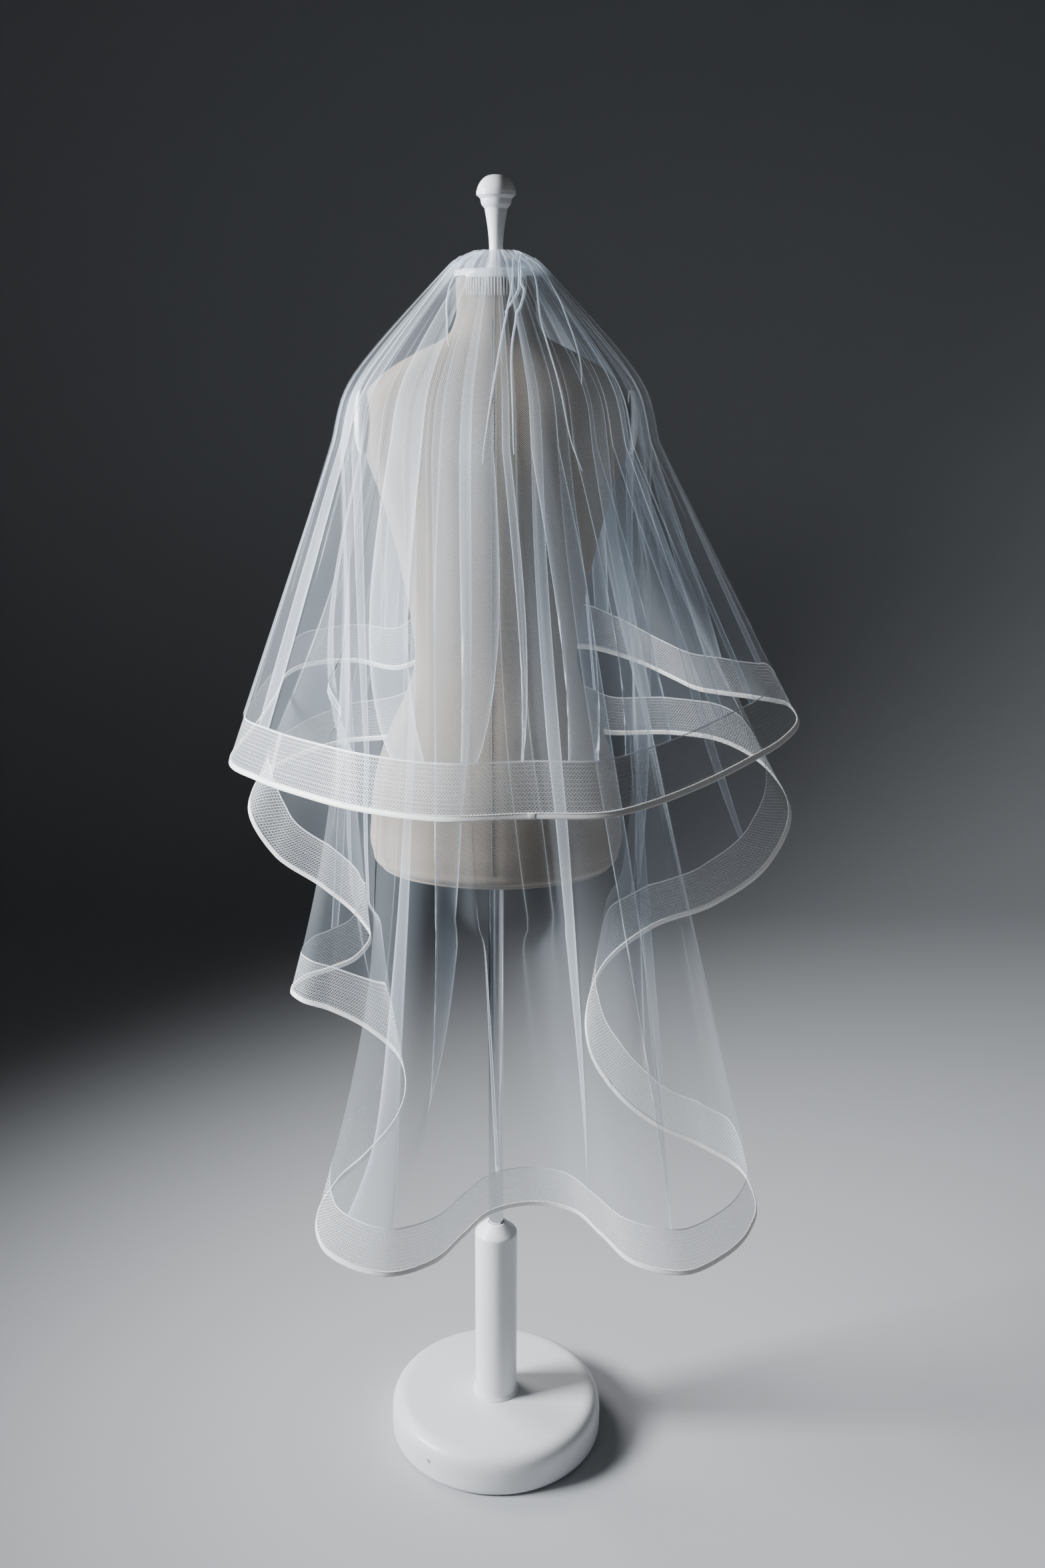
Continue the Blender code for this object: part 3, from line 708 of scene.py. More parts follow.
@dataclass(frozen=True)
class Satin(Finish):
    """Smooth satin ribbon with fine ribs across it.

    Attributes:
        ribs: How fast the ribs follow each other, in radians a metre.
    """

    ribs: float = 5200.0

    def dress(self, surface: Surface) -> None:
        """Gives the surface its nodes and values."""
        uv = surface.metres()
        patches = surface.mottle(uv, patches=30.0, grain=900.0)["Patches"]
        ribs = surface.math("SINE", surface.math("MULTIPLY", surface.part(uv, 0), self.ribs))
        surface.set({
            Shader.SHEEN: 0.35,
            Shader.SHEEN_ROUGHNESS: 0.3,
            Shader.COLOUR: surface.mix(patches, dimmed(self.colour, 0.93), self.colour),
            Shader.ROUGHNESS: surface.span(patches, 0.24, 0.4),
            Shader.NORMAL: surface.bump(ribs, strength=0.25, distance=0.0002),
        })


@dataclass(frozen=True)
class Twill(Finish):
    """Coarse linen twill of two threads.

    Attributes:
        dark: The dark thread's colour.
        pitch: The spacing of the threads, in metres.
        ridges: How fast the twill's ridges follow each other, in radians a metre.
    """

    dark: Rgb
    pitch: float = 0.0036
    ridges: float = 2420.0

    def dress(self, surface: Surface) -> None:
        """Gives the surface its nodes and values."""
        surface.set({Shader.ROUGHNESS: 0.9, Shader.SHEEN: 0.15, Shader.SHEEN_ROUGHNESS: 0.5})
        uv = surface.metres()
        grain = surface.mottle(uv, patches=25.0, grain=700.0)["Grain"]
        slant = surface.math("ADD", surface.part(uv, 0), surface.part(uv, 1))
        ridge = surface.math("SINE", surface.math("MULTIPLY", slant, self.ridges))
        thread = surface.math("MULTIPLY_ADD", ridge, 0.46, surface.span(grain, 0.25, 0.7))
        crossed = surface.strands(uv, self.pitch, strand=0.5)["Over"]
        thread = surface.math("MULTIPLY_ADD", crossed, 0.2, thread)
        surface.set({
            Shader.COLOUR: surface.mix(thread, self.dark, self.colour),
            Shader.NORMAL: surface.bump(thread, strength=0.5, distance=0.0004),
        })


@dataclass(frozen=True)
class Paint(Finish):
    """Satin white paint with faint unevenness, and a chip that shows the grey under it.

    Attributes:
        roughness: How rough it is.
        chip: Where a chip is, or None.
        chip_reach: How far the chip reaches, in metres.
        chip_edge: How ragged its edge is.
        under: The colour under the paint.
    """

    roughness: float
    chip: Place | None = None
    chip_reach: float = 0.0068
    chip_edge: float = 0.006
    under: Rgb = (0.32, 0.32, 0.33)

    def dress(self, surface: Surface) -> None:
        """Gives the surface its nodes and values."""
        place = surface.place()
        mottle = surface.mottle(place, patches=14.0, grain=420.0)
        shade = surface.mix(mottle["Patches"], dimmed(self.colour, 0.94), self.colour)
        if self.chip is not None:
            far = surface.add("ShaderNodeVectorMath", {0: place, 1: self.chip}, operation="DISTANCE")
            edge = surface.math("MULTIPLY_ADD", mottle["Grain"], self.chip_edge, far.outputs["Value"])
            shade = surface.mix(surface.math("LESS_THAN", edge, self.chip_reach), shade, self.under)
        surface.set({
            Shader.COAT: 0.15,
            Shader.COAT_ROUGHNESS: 0.2,
            Shader.COLOUR: shade,
            Shader.ROUGHNESS: surface.span(mottle["Patches"], self.roughness - 0.06, self.roughness + 0.08),
            Shader.NORMAL: surface.bump(mottle["Grain"], strength=0.12, distance=0.0005),
        })


@dataclass(frozen=True)
class Chrome(Finish):
    """Polished chrome with faint drawn lines along it."""

    drawn: Place = (90.0, 90.0, 1.2)

    def dress(self, surface: Surface) -> None:
        """Gives the surface its nodes and values."""
        surface.set({Shader.METALLIC: 1.0, Shader.COLOUR: self.colour})
        lines = surface.first("ShaderNodeMapping", {"Vector": surface.place(), "Scale": self.drawn})
        patches = surface.mottle(lines, patches=4.0, grain=20.0)["Patches"]
        surface.set({Shader.ROUGHNESS: surface.span(patches, 0.06, 0.2)})


@dataclass(frozen=True)
class ClearPlasticPaintedGlint(Finish):
    """Clear moulded plastic, drawn near-white and nearly opaque: a painted highlight that stands for the
    glints on its teeth.
    """

    def dress(self, surface: Surface) -> None:
        """Gives the surface its nodes and values."""
        mottle = surface.mottle(surface.place(), patches=90.0, grain=900.0)
        surface.set({
            Shader.COLOUR: self.colour,
            Shader.IOR: 1.49,
            Shader.COAT: 0.5,
            Shader.COAT_ROUGHNESS: 0.05,
            Shader.ROUGHNESS: surface.span(mottle["Patches"], 0.08, 0.2),
            # The high alpha on the near-white colour paints the teeth's glints into the clear plastic.
            Shader.ALPHA: surface.span(mottle["Grain"], 0.78, 0.95),
        })


@dataclass(frozen=True)
class Folds:
    """How a tier's cloth is folded in along its width.

    Attributes:
        main: The folds seen in the photograph and their like on the hidden sides.
        fine: How many finer folds there are between them.
        seed: The seed of the fine folds' places and sizes.
    """

    main: tuple[Pleat, ...]
    fine: int
    seed: int

    WIDTHS = (0.0010, 0.0034)
    CHESTS = (0.9, 4.0)
    SEAMS = (-2.0, -0.8, 0.4, 1.3, 2.2)
    SEAM_ODDS = (0.35, 0.25, 0.15, 0.15, 0.1)
    CLEARANCE = 1.1

    def every(self) -> list[Pleat]:
        """Lists all the folds, by their place along the cloth."""
        draw = np.random.default_rng(self.seed)
        spots = (np.arange(self.fine) + draw.uniform(0.2, 0.8, self.fine)) / self.fine
        fine = [
            Pleat(
                float(spot),
                float(draw.uniform(*self.WIDTHS)),
                float(draw.uniform(*self.CHESTS)),
                float(draw.choice(self.SEAMS, p=self.SEAM_ODDS)),
                int(draw.choice([-1, 1])),
            )
            for spot in spots
        ]
        clear = [fold for fold in fine if not any(self.covers(one, fold) for one in self.main)]
        return sorted([*self.main, *clear])

    def covers(self, main: Pleat, fine: Pleat) -> bool:
        """Tells whether a main fold leaves no room for a fine one."""
        return abs(fine.share - main.share) <= self.CLEARANCE * main.width


@dataclass(frozen=True)
class Strand:
    """A loose bundle of tulle drawn out of the gathers.

    Attributes:
        path: Share along the cloth, fall and lift off the tier, at each of its bends.
        width: Its width.
        depth: Its thickness.
        layers: How many layers of tulle lie in it.
        strand_glint: How much its crease mask raises its cover, partly real extra net and partly a painted
            highlight over the whole strand.
    """

    path: tuple[Place, ...]
    width: float
    depth: float
    layers: float = 4.0
    strand_glint: float = 1.0


@dataclass
class Tier:
    """One tier of the veil: its tulle, its braid and its ribbon.

    Attributes:
        name: The tier's name.
        rings: The levels of its gathered top.
        hem: The places along its edge.
        folds: Its folds.
        flat: The size that the tulle was cut to.
        flat_area: The area of the cut; not used.
        ribbon_joins: Where along the edge the ribbon's lengths are joined.
        braid_join: Where along the edge the braid's ends lie over each other.
        strands: The loose strands of its gathers.
    """

    name: str
    rings: tuple[Ring, ...]
    hem: tuple[Hem, ...]
    folds: Folds
    flat: tuple[float, float]
    flat_area: float
    ribbon_joins: tuple[float, ...]
    braid_join: float
    strands: tuple[Strand, ...] = ()

    # How far the heading reaches round the neck, and how uneven its gathers are.
    WRAP = math.radians(310)
    GATHERS = 30
    GATHER_WAVES = ((0.28, 2.4, 0.0), (0.16, 5.1, 1.0))
    GATHER_FADE = 1.5
    GATHER_SHARE = 0.14

    # The braid. Its width follows the cloth's fall at EDGE_SIGHT, and its rows run from the top down.
    EDGE_SIGHT = 1.85
    LEAST_LEAN = 0.55
    BRAID_WIDTH = 0.068
    BRAID_ROWS = (0.069, 0.003, 9)
    BAND_COLUMNS = 1100
    SEAM = 0.0005
    OVERLAP = 0.010
    OVERLAP_LIFT = 0.0009
    OVERLAP_COLUMNS = 8

    # The folded ribbon: half of its section, its wrinkles and its laps.
    BINDING_WIDTH = 0.008
    RIBBON_SHOWING = 1.2
    RIBBON_THICKNESS = 0.00075
    RIBBON_SIDE = ((1.0, 0.05), (0.98, 0.9), (0.75, 1.15), (0.35, 1.1), (0.08, 1.0), (0.0, 0.4))
    WRINKLE = 0.00007
    WRINKLE_RATES = (210, 97)
    LAP = 0.0006
    LAP_COLUMNS = 14

    # The zigzag that holds the ribbon.
    STITCH_PITCH = 0.0018
    STITCH_LENGTH = 0.0026
    STITCH_SLANT = 0.9
    STITCH_PLACE = 0.86
    STITCH_LIFT = 0.0002

    # The tulle's rows, and its columns, which lie closer across a fold.
    TOP_ROWS = 26
    HANG_ROWS = 46
    EVEN_COLUMNS = 300
    CROWDING_COLUMNS = 160
    LEAST_COLUMN = 1.6e-4
    FOLD_COLUMNS = (-2.5, -2.0, -1.5, -1.15, -0.95, -0.85, -0.75, -0.65, -0.5, -0.25, 0.0)
    UV_WIDENING = 1.6

    # How far the folds stand out at each fall, their section, and where they look creased, which is also
    # where highlight lines are painted into the net's cover.
    LIFT_FALLS = (0.0, 0.3, 1.0, 2.0)
    LIFTS = (0.0003, 0.0009, 0.0016, 0.0022)
    RIDGE_AT = 1.2
    RIDGE_SPREAD = 1.6
    TURN_POWER = 0.95
    CREASE_SPREAD = 0.045
    CREASE_FROM = 0.7

    # How many layers the net looks like in the gathers and the folds, and how that changes down the heading.
    FOLDED_SHARE = 4.8
    FOLD_CROWDING = 0.8
    DENSE_FALLS = (0.0, 0.38, 0.46, 0.72, 1.0)
    DENSITY = (1.7, 1.5, 0.5, 0.65, 1.0)

    # The loose strands of the gathers.
    STRAND_ROWS = 60
    STRAND_SIDES = 12
    STRAND_TAPER = (0.08, 0.97)

    def __post_init__(self) -> None:
        """Works out the curves through the tables, and the uneven gathers."""
        run = run_of(np.array([row[:3] for row in self.hem]))
        self.edge_length = float(run[-1])
        self.hem_curve = SmoothTable(run / run[-1], self.hem)
        self.ring_curve = SmoothTable(np.linspace(0, 1, len(self.rings)), self.rings)
        widths = np.ones(self.GATHERS)
        for size, rate, start in self.GATHER_WAVES:
            widths += size * np.sin(rate * np.arange(self.GATHERS) + start)
        self.gather_edges = np.concatenate(([0.0], np.cumsum(widths))) / widths.sum()

    def draped(self, share: Points, fall: Points, end: Points) -> Points:
        """Finds places on the cloth before it is folded, where it hangs from the heading to these ends."""
        height, side, back, front, _ = np.moveaxis(self.ring_curve.at(np.minimum(fall, 1.0)), -1, 0)
        turn = (share - 0.5) * self.WRAP
        depth = np.where(np.cos(turn) > 0, back, front)
        top = np.stack([side * np.sin(turn), -depth * np.cos(turn), height], -1)
        hang = np.clip(fall - 1.0, 0.0, 1.0)
        swing = hang ** self.hem_curve.at(share)[..., 3]
        return FORM.clear_of(top + (end - top) * np.stack([swing, swing, hang], -1))

    def band_place(self, share: Points, drop: Points) -> Points:
        """Finds places on the braid or the ribbon, this far above the edge along its own width."""
        step = 1e-3
        place = self.hem_curve.at(share)[..., :3]
        after = self.hem_curve.at(np.minimum(share + step, 1))
        before = self.hem_curve.at(np.maximum(share - step, 0))
        along = unit((after - before)[..., :3])
        up = unit(self.draped(share, np.full_like(share, self.EDGE_SIGHT), place) - place)
        across = np.linalg.norm(np.cross(up, along), axis=-1, keepdims=True)
        return place + up / np.maximum(across, self.LEAST_LEAN) * drop[..., None]

    def band_out(self, share: Points, drop: Points) -> Points:
        """Finds the outward directions of the braid or the ribbon."""
        step = 1e-3
        after = self.band_place(np.minimum(share + step, 1), drop)
        before = self.band_place(np.maximum(share - step, 0), drop)
        down = self.band_place(share, drop - step) - self.band_place(share, drop + step)
        return unit(np.cross(down, after - before))

    def smooth(self, share: Points, fall: Points) -> Points:
        """Finds places on the tulle before it is folded."""
        end = self.band_place(share, np.full_like(share, self.BRAID_WIDTH + self.SEAM))
        return self.draped(share, fall, end)

    def out(self, share: Points, fall: Points) -> Points:
        """Finds the outward directions of the tulle before it is folded."""
        step = 2e-3
        after, before = np.minimum(share + step, 1), np.maximum(share - step, 0)
        under, over = np.minimum(fall + step, 2), np.maximum(fall - step, 0)
        down = self.smooth(share, under) - self.smooth(share, over)
        return unit(np.cross(down, self.smooth(after, fall) - self.smooth(before, fall)))

    def columns(self, pleats: Sequence[Pleat]) -> Points:
        """Spaces the columns, closer across the folds."""
        left = np.array(self.FOLD_COLUMNS)
        across = np.concatenate((left, -left[:-1]))
        spots = [np.linspace(0, 1, self.EVEN_COLUMNS)]
        for pleat in pleats:
            fine = pleat not in self.folds.main
            spots.append(pleat.share + (across[2:-2:2] if fine else across) * pleat.width)
            if abs(pleat.stray) > pleat.width:
                count = 2 + int(abs(pleat.stray) / pleat.width * 4)
                spots.append(np.linspace(pleat.share, pleat.share + pleat.stray, count))
        shares = np.unique(np.clip(np.concatenate(spots), 0, 1))
        keep = np.concatenate(([True], np.diff(shares) > self.LEAST_COLUMN))
        keep[-1] = True
        return shares[keep]

    def crowding(self, falls: Points) -> Points:
        """Finds how many layers the gathers lay on each other at each fall, beyond the folds."""
        share, fall = np.meshgrid(np.linspace(0, 1, self.CROWDING_COLUMNS), falls, indexing="ij")
        steps = np.linalg.norm(np.diff(self.smooth(share, fall), axis=0), axis=-1)
        return np.maximum(self.flat[0] / steps.sum(axis=0) / self.FOLDED_SHARE, 1.0)

    def folded(self, share: Points, fall: Points, pleats: Sequence[Pleat]) -> tuple[Points, Points, Points]:
        """Lays the tulle in its folds.

        Args:
            share: Where along the cloth each place is.
            fall: How far down it is.
            pleats: The folds.

        Returns:
            The places, how creased the cloth is at each, which also places the painted highlight lines, and
            how much it is doubled in the folds.
        """
        moved = share.copy()
        lift, crease, doubled = (np.zeros_like(share) for _ in range(3))
        size = np.interp(fall, self.LIFT_FALLS, self.LIFTS)
        hang = np.clip(fall - 1.0, 0.0, 1.0)
        for pleat in pleats:
            t = (share - pleat.share - pleat.stray * hang**3) / pleat.width
            strength = np.maximum(pleat.chest + (pleat.seam - pleat.chest) * hang**2, 0)
            moved -= pleat.width * strength * t * np.exp(-t * t / 2)
            side = pleat.lean * t
            past_ridge = np.clip(side - self.RIDGE_AT, 0, None)
            rise = smoothstep(-1.0, 1.0, side) * np.exp(-(past_ridge**2) / self.RIDGE_SPREAD)
            lift += size * rise * np.minimum(strength, 1)
            turn_at = np.clip(1 - 1 / np.maximum(strength, 1.001), 0, 1) ** self.TURN_POWER
            turns = np.exp(-((np.abs(t) - turn_at) ** 2) / self.CREASE_SPREAD)
            crease = np.maximum(crease, turns * np.clip(strength - self.CREASE_FROM, 0, 1))
            inside = smoothstep(0.1, -0.1, np.abs(t) - turn_at) * np.clip(strength - 1, 0, 1)
            doubled = np.maximum(doubled, inside)
        moved = np.clip(moved, 0, 1)
        gather = self.ring_curve.at(np.minimum(fall, 1.0))[..., 4] * (1 - hang) ** self.GATHER_FADE
        wave = -np.cos(2 * np.pi * np.interp(moved, self.gather_edges, np.arange(self.GATHERS + 1)))
        raised = self.GATHER_SHARE * gather * wave + lift
        return self.smooth(moved, fall) + self.out(moved, fall) * raised[..., None], crease, doubled

    def add_tulle(self, material: Material) -> Piece:
        """Makes the tier's folded tulle in this finish."""
        pleats = self.folds.every()
        hang = np.arange(1, self.HANG_ROWS + 1) / self.HANG_ROWS
        falls = np.concatenate((np.linspace(0, 1, self.TOP_ROWS), 1 + hang))
        share, fall = np.meshgrid(self.columns(pleats), falls, indexing="ij")
        places, crease, doubled = self.folded(share, fall, pleats)
        steps = np.linalg.norm(np.diff(places, axis=1), axis=-1)
        drop = np.concatenate((np.zeros((len(places), 1)), np.cumsum(steps, axis=1)), axis=1)
        uv = np.stack([share * self.flat[0] * self.UV_WIDENING, drop], -1)
        mesh = grid_mesh(f"{self.name}_tulle", places, uv)
        density = np.interp(falls, self.DENSE_FALLS, self.DENSITY)
        layers = (self.crowding(falls) + doubled * self.FOLD_CROWDING) * density
        # The crease mask adds net at the folds' turns, partly real and partly a painted highlight line.
        add_values(mesh, crease=crease * np.minimum(density, 1), layers=layers)
        return place_piece(mesh.name, mesh, material, node=f"{self.name}_tier")

    def band_mesh(self, name: str, shares: Points, lift: float = 0.0) -> Mesh:
        """Makes a stretch of the braid.

        Args:
            name: The mesh's name.
            shares: Its columns along the edge.
            lift: How far it stands out of the braid's middle.

        Returns:
            The mesh.
        """
        share, drop = np.meshgrid(shares, np.linspace(*self.BRAID_ROWS), indexing="ij")
        places = self.band_place(share, drop) + self.band_out(share, drop) * lift
        return grid_mesh(name, places, np.stack([share * self.edge_length, drop], -1))

    def add_braid(self, material: Material) -> Piece:
        """Makes the braid in this finish, with the overlap where its ends meet."""
        name = f"{self.name}_open_braid"
        band = self.band_mesh(name, np.linspace(0, 1, self.BAND_COLUMNS))
        end = self.braid_join + self.OVERLAP / self.edge_length
        ends = np.linspace(self.braid_join, end, self.OVERLAP_COLUMNS)
        overlap = self.band_mesh("overlap", ends, self.OVERLAP_LIFT)
        return place_piece(name, joined(name, (band, overlap)), material, node=f"{self.name}_braid")

    def ribbon_mesh(self, name: str, shares: Points, thickness: Points) -> Mesh:
        """Makes a stretch of the ribbon, folded over the braid's edge.

        Args:
            name: The mesh's name.
            shares: Its columns along the edge.
            thickness: Half the thickness of the folded ribbon at each column.

        Returns:
            The mesh.
        """
        profile = np.array(self.RIBBON_SIDE + tuple((drop, -out) for drop, out in reversed(self.RIBBON_SIDE)))
        drops, outs = profile[:, 0] * self.BINDING_WIDTH, profile[:, 1]
        share, drop = np.meshgrid(shares, drops, indexing="ij")
        lift = outs[None, :, None] * thickness[:, None, None]
        places = self.band_place(share, drop) + self.band_out(share, drop) * lift
        steps = np.abs(np.diff(drops)) + np.abs(np.diff(outs)) * thickness[0]
        around = np.concatenate(([0.0], np.cumsum(steps)))
        uv = np.stack([share * self.edge_length, np.broadcast_to(around, share.shape)], -1)
        return grid_mesh(name, places, uv, closed=True)

    def add_ribbon(self, material: Material) -> Piece:
        """Makes the ribbon with the laps where its lengths are joined."""
        name = f"{self.name}_ribbon"
        shares = np.linspace(0, 1, self.BAND_COLUMNS)
        fast, slow = self.WRINKLE_RATES
        wrinkle = np.sin(shares * fast) * np.sin(shares * slow + 1) * self.WRINKLE
        lengths = [self.ribbon_mesh(name, shares, self.RIBBON_THICKNESS + wrinkle)]
        bulge = np.sin(np.linspace(0.12, 1, self.LAP_COLUMNS) * math.pi) ** 0.5
        thickness = self.RIBBON_THICKNESS + self.LAP * bulge
        for join in self.ribbon_joins:
            lap = np.linspace(join, join + self.OVERLAP / self.edge_length, self.LAP_COLUMNS)
            lengths.append(self.ribbon_mesh("lap", lap, thickness))
        return place_piece(name, joined(name, lengths), material, node=f"{self.name}_binding")

    def add_stitches(self, stitches: Stitches, material: Material) -> Piece:
        """Sews the zigzag along the ribbon's upper edge, on the outer side."""
        name = f"{self.name}_zigzag"
        count = int(self.edge_length / self.STITCH_PITCH)
        share = (np.arange(count) + 0.5) / count
        drop = np.full_like(share, self.BINDING_WIDTH * self.STITCH_PLACE)
        out = self.band_out(share, drop)
        places = self.band_place(share, drop) + out * (self.RIBBON_THICKNESS + self.STITCH_LIFT)
        sizes = {"Stitch_Length": self.STITCH_LENGTH, "Slant": self.STITCH_SLANT}
        return place_piece(name, stitches.sew(name, places, out, material, **sizes), material)

    def strand_mesh(self, strand: Strand) -> Mesh:
        """Makes one loose strand of the gathers, a flattened bundle of tulle that lies on the tier."""
        path = SmoothTable(np.linspace(0, 1, len(strand.path)), strand.path)
        share, fall, lift = np.moveaxis(path.at(np.linspace(0, 1, self.STRAND_ROWS)), -1, 0)
        share = np.clip(share, 0.001, 0.999)
        out = self.out(share, fall)
        middle = self.smooth(share, fall) + out * lift[:, None]
        side = unit(np.cross(out, unit(np.gradient(middle, axis=0))))
        turn = np.linspace(0, 2 * math.pi, self.STRAND_SIDES, endpoint=False)
        taper = np.sin(np.linspace(*self.STRAND_TAPER, self.STRAND_ROWS) * math.pi) ** 0.4
        wide = side[:, None] * (np.cos(turn)[:, None] * strand.width / 2) * taper[:, None, None]
        deep = out[:, None] * (np.sin(turn)[:, None] * strand.depth / 2) * taper[:, None, None]
        uv = np.stack(np.broadcast_arrays(run_of(middle)[:, None], turn[None, :] * strand.width / 2), -1)
        mesh = grid_mesh("strand", middle[:, None] + wide + deep, uv, closed=True)
        points = np.ones(len(mesh.vertices))
        # Each strand's crease mask is its shine: partly real extra net, partly a painted highlight over the
        # bundle.
        add_values(mesh, crease=points * strand.strand_glint, layers=points * strand.layers)
        return mesh

    def add_strands(self, material: Material) -> list[Piece]:
        """Lays the loose strands of the gathers on the tier, if it has any."""
        if not self.strands:
            return []
        name = f"{self.name}_loose_gathers"
        mesh = joined(name, [self.strand_mesh(one) for one in self.strands])
        return [place_piece(name, mesh, material)]

    def add(self, tulle: Material, braid: Material, satin: Material, stitches: Stitches) -> None:
        """Makes the tier in its finishes.

        Args:
            tulle: The net's finish.
            braid: The open braid's finish.
            satin: The ribbon's finish.
            stitches: The tree that sews it.
        """
        net = self.add_tulle(tulle)
        band = self.add_braid(braid)
        ribbon = self.add_ribbon(satin)
        zigzag = self.add_stitches(stitches, satin)
        loose = self.add_strands(tulle)


class DressForm:
    """The covered form that the veil hangs on: its girths, and how the cloth stays clear of it."""

    EASE = 0.018
    SOFTNESS = 0.025
    HIPS = 0.96
    HIP_LINE = 0.88
    TUCK_LINE = 0.76
    CHEST_LINE = 1.48
    HEADING_LINE = 1.62
    TURNS = 160
    LOWER_EDGE = (0.945, 24)
    BODY = (0.95, 126)
    CLOTH_ROUND = 0.9
    SEAM_AT = -0.0055
    SEAM_DEPTH = 0.0007
    SEAM_SPREAD = 0.02
    STITCH_PITCH = 0.0042
    STITCH_LIFT = 0.0001

    def __init__(self) -> None:
        """Works out the curve through the girths."""
        self.girth = SmoothTable([row.height for row in TORSO], [row[1:] for row in TORSO])

    def clear_of(self, place: Points) -> Points:
        """Moves places out of the form, down to the hips, and lets the cloth swing back in below them."""
        x, y, z = np.moveaxis(place, -1, 0)
        reach = np.hypot(x, y) + 1e-9
        side, back, front = np.moveaxis(self.girth.at(np.maximum(z, self.HIPS)), -1, 0)
        depth = np.where(y < 0, back, front)
        edge = 1 / np.sqrt((x / reach / side) ** 2 + (y / reach / depth) ** 2) + self.EASE
        edge = edge * np.clip((z - self.TUCK_LINE) / (self.HIP_LINE - self.TUCK_LINE), 0, 1)
        edge = edge * np.clip((self.HEADING_LINE - z) / (self.HEADING_LINE - self.CHEST_LINE), 0, 1)
        near = np.maximum(self.SOFTNESS - np.abs(reach - edge), 0)
        pushed = np.maximum(reach, edge) + near**2 / (4 * self.SOFTNESS)
        return np.stack([x / reach * pushed, y / reach * pushed, z], -1)

    def add_cover(self, material: Material) -> Piece:
        """Makes the covered form with the seam down its back."""
        (edge_top, edge_rows), (foot, rows) = self.LOWER_EDGE, self.BODY
        edge = np.linspace(TORSO[0].height, edge_top, edge_rows)
        height = np.concatenate((edge, np.linspace(foot, TORSO[-1].height, rows)))
        turns = np.linspace(0, 2 * math.pi, self.TURNS, endpoint=False)
        turn, level = np.meshgrid(turns, height, indexing="ij")
        side, back, front = np.moveaxis(self.girth.at(level), -1, 0)
        depth = np.where(np.cos(turn) > 0, back, front)
        off_seam = (turn + math.pi) % (2 * math.pi) - math.pi
        seam = np.exp(-((off_seam / self.SEAM_SPREAD) ** 2)) * self.SEAM_DEPTH
        places = np.stack([(side - seam) * np.sin(turn), -(depth - seam) * np.cos(turn), level], -1)
        shape = bmesh.new()
        verts = [[shape.verts.new(place) for place in column] for column in places]
        layer = shape.loops.layers.uv.new("metres")
        for number, column in enumerate(verts):
            after = verts[(number + 1) % self.TURNS]
            for row in range(len(column) - 1):
                face = shape.faces.new((column[row], after[row], after[row + 1], column[row + 1]))
                for loop, (across, up) in zip(face.loops, ((0, 0), (1, 0), (1, 1), (0, 1))):
                    loop[layer].uv = ((number + across) / self.TURNS * self.CLOTH_ROUND, height[row + up])
        for ring in ([column[0] for column in reversed(verts)], [column[-1] for column in verts]):
            for loop in shape.faces.new(ring).loops:
                loop[layer].uv = loop.vert.co.xy
        mesh = finished("form_cover", shape, sharp=50)
        return place_piece("form_cover", mesh, material, node="torso")

    def add_seam(self, stitches: Stitches, material: Material) -> Piece:
        """Sews the row of stitches beside the seam down the form's back."""
        height = np.arange(TORSO[3].height, TORSO[-3].height, self.STITCH_PITCH)
        back = self.girth.at(height)[:, 1]
        places = np.stack([np.full_like(height, self.SEAM_AT), -back - self.STITCH_LIFT, height], -1)
        sizes = {"Stitch_Length": 0.0028, "Slant": 0.0, "Thread": 0.00035}
        sewn = stitches.sew("form_seam", places, (0.0, -1.0, 0.0), material, **sizes)
        return place_piece("form_seam", sewn, material)


FORM = DressForm()
CORNER_STEPS = 6


def turned_mesh(name: str, profile: Sequence[tuple[float, float]], steps: int) -> Mesh:
    """Turns a profile of radius and height round the Z axis.

    Args:
        name: The mesh's name.
        profile: Radius and height, from the top down the outer side.
        steps: How many faces it has round its axis.

    Returns:
        The closed mesh, smooth, with its edges sharp.
    """
    shape = bmesh.new()
    turns = [2 * math.pi * step / steps for step in range(steps)]
    rings = []
    for radius, height in profile:
        places = [(radius * math.cos(t), radius * math.sin(t), height) for t in turns]
        if radius < 1e-6:
            places = [(0.0, 0.0, height)]
        rings.append([shape.verts.new(place) for place in places])
    for one, two in zip(rings, rings[1:]):
        for step in range(steps):
            after = (step + 1) % steps
            corners = ((one, step), (two, step), (two, after), (one, after))
            shape.faces.new(list(dict.fromkeys(ring[number % len(ring)] for ring, number in corners)))
    bmesh.ops.recalc_face_normals(shape, faces=shape.faces[:])
    return finished(name, shape, sharp=35)


def rounded(points: Sequence[Place]) -> tuple[tuple[float, float], ...]:
    """Rounds the corners of a profile.

    Args:
        points: Radius, height and corner radius of each point.

    Returns:
        The profile's points, with CORNER_STEPS stretches along each rounded corner.
    """
    result = []
    for number, (radius, height, soft) in enumerate(points):
        if soft == 0 or number in (0, len(points) - 1):
            result.append((radius, height))
            continue
        here = Vector((radius, height))
        before = (Vector(points[number - 1][:2]) - here).normalized() * soft
        after = (Vector(points[number + 1][:2]) - here).normalized() * soft
        for step in range(CORNER_STEPS + 1):
            part = step / CORNER_STEPS
            result.append(tuple(here + before * (1 - part) ** 2 + after * part**2))
    return tuple(result)


@dataclass(frozen=True)
class Turned:
    """A turned piece of the stand.

    Attributes:
        node: The CAD node that it stands for.
        profile: Its radius, height and corner radius at each corner, from the top down its outer side.
        steps: How many faces it has round its axis.
        slot: Its finish's slot; not used.
    """

    node: str
    profile: tuple[Place, ...]
    steps: int = 128
    slot: str = "white_wood"

    def add(self, material: Material) -> Piece:
        """Makes the piece in this finish."""
        mesh = turned_mesh(self.node, rounded(self.profile), self.steps)
        return place_piece(f"turned_{self.node}", mesh, material, node=self.node)


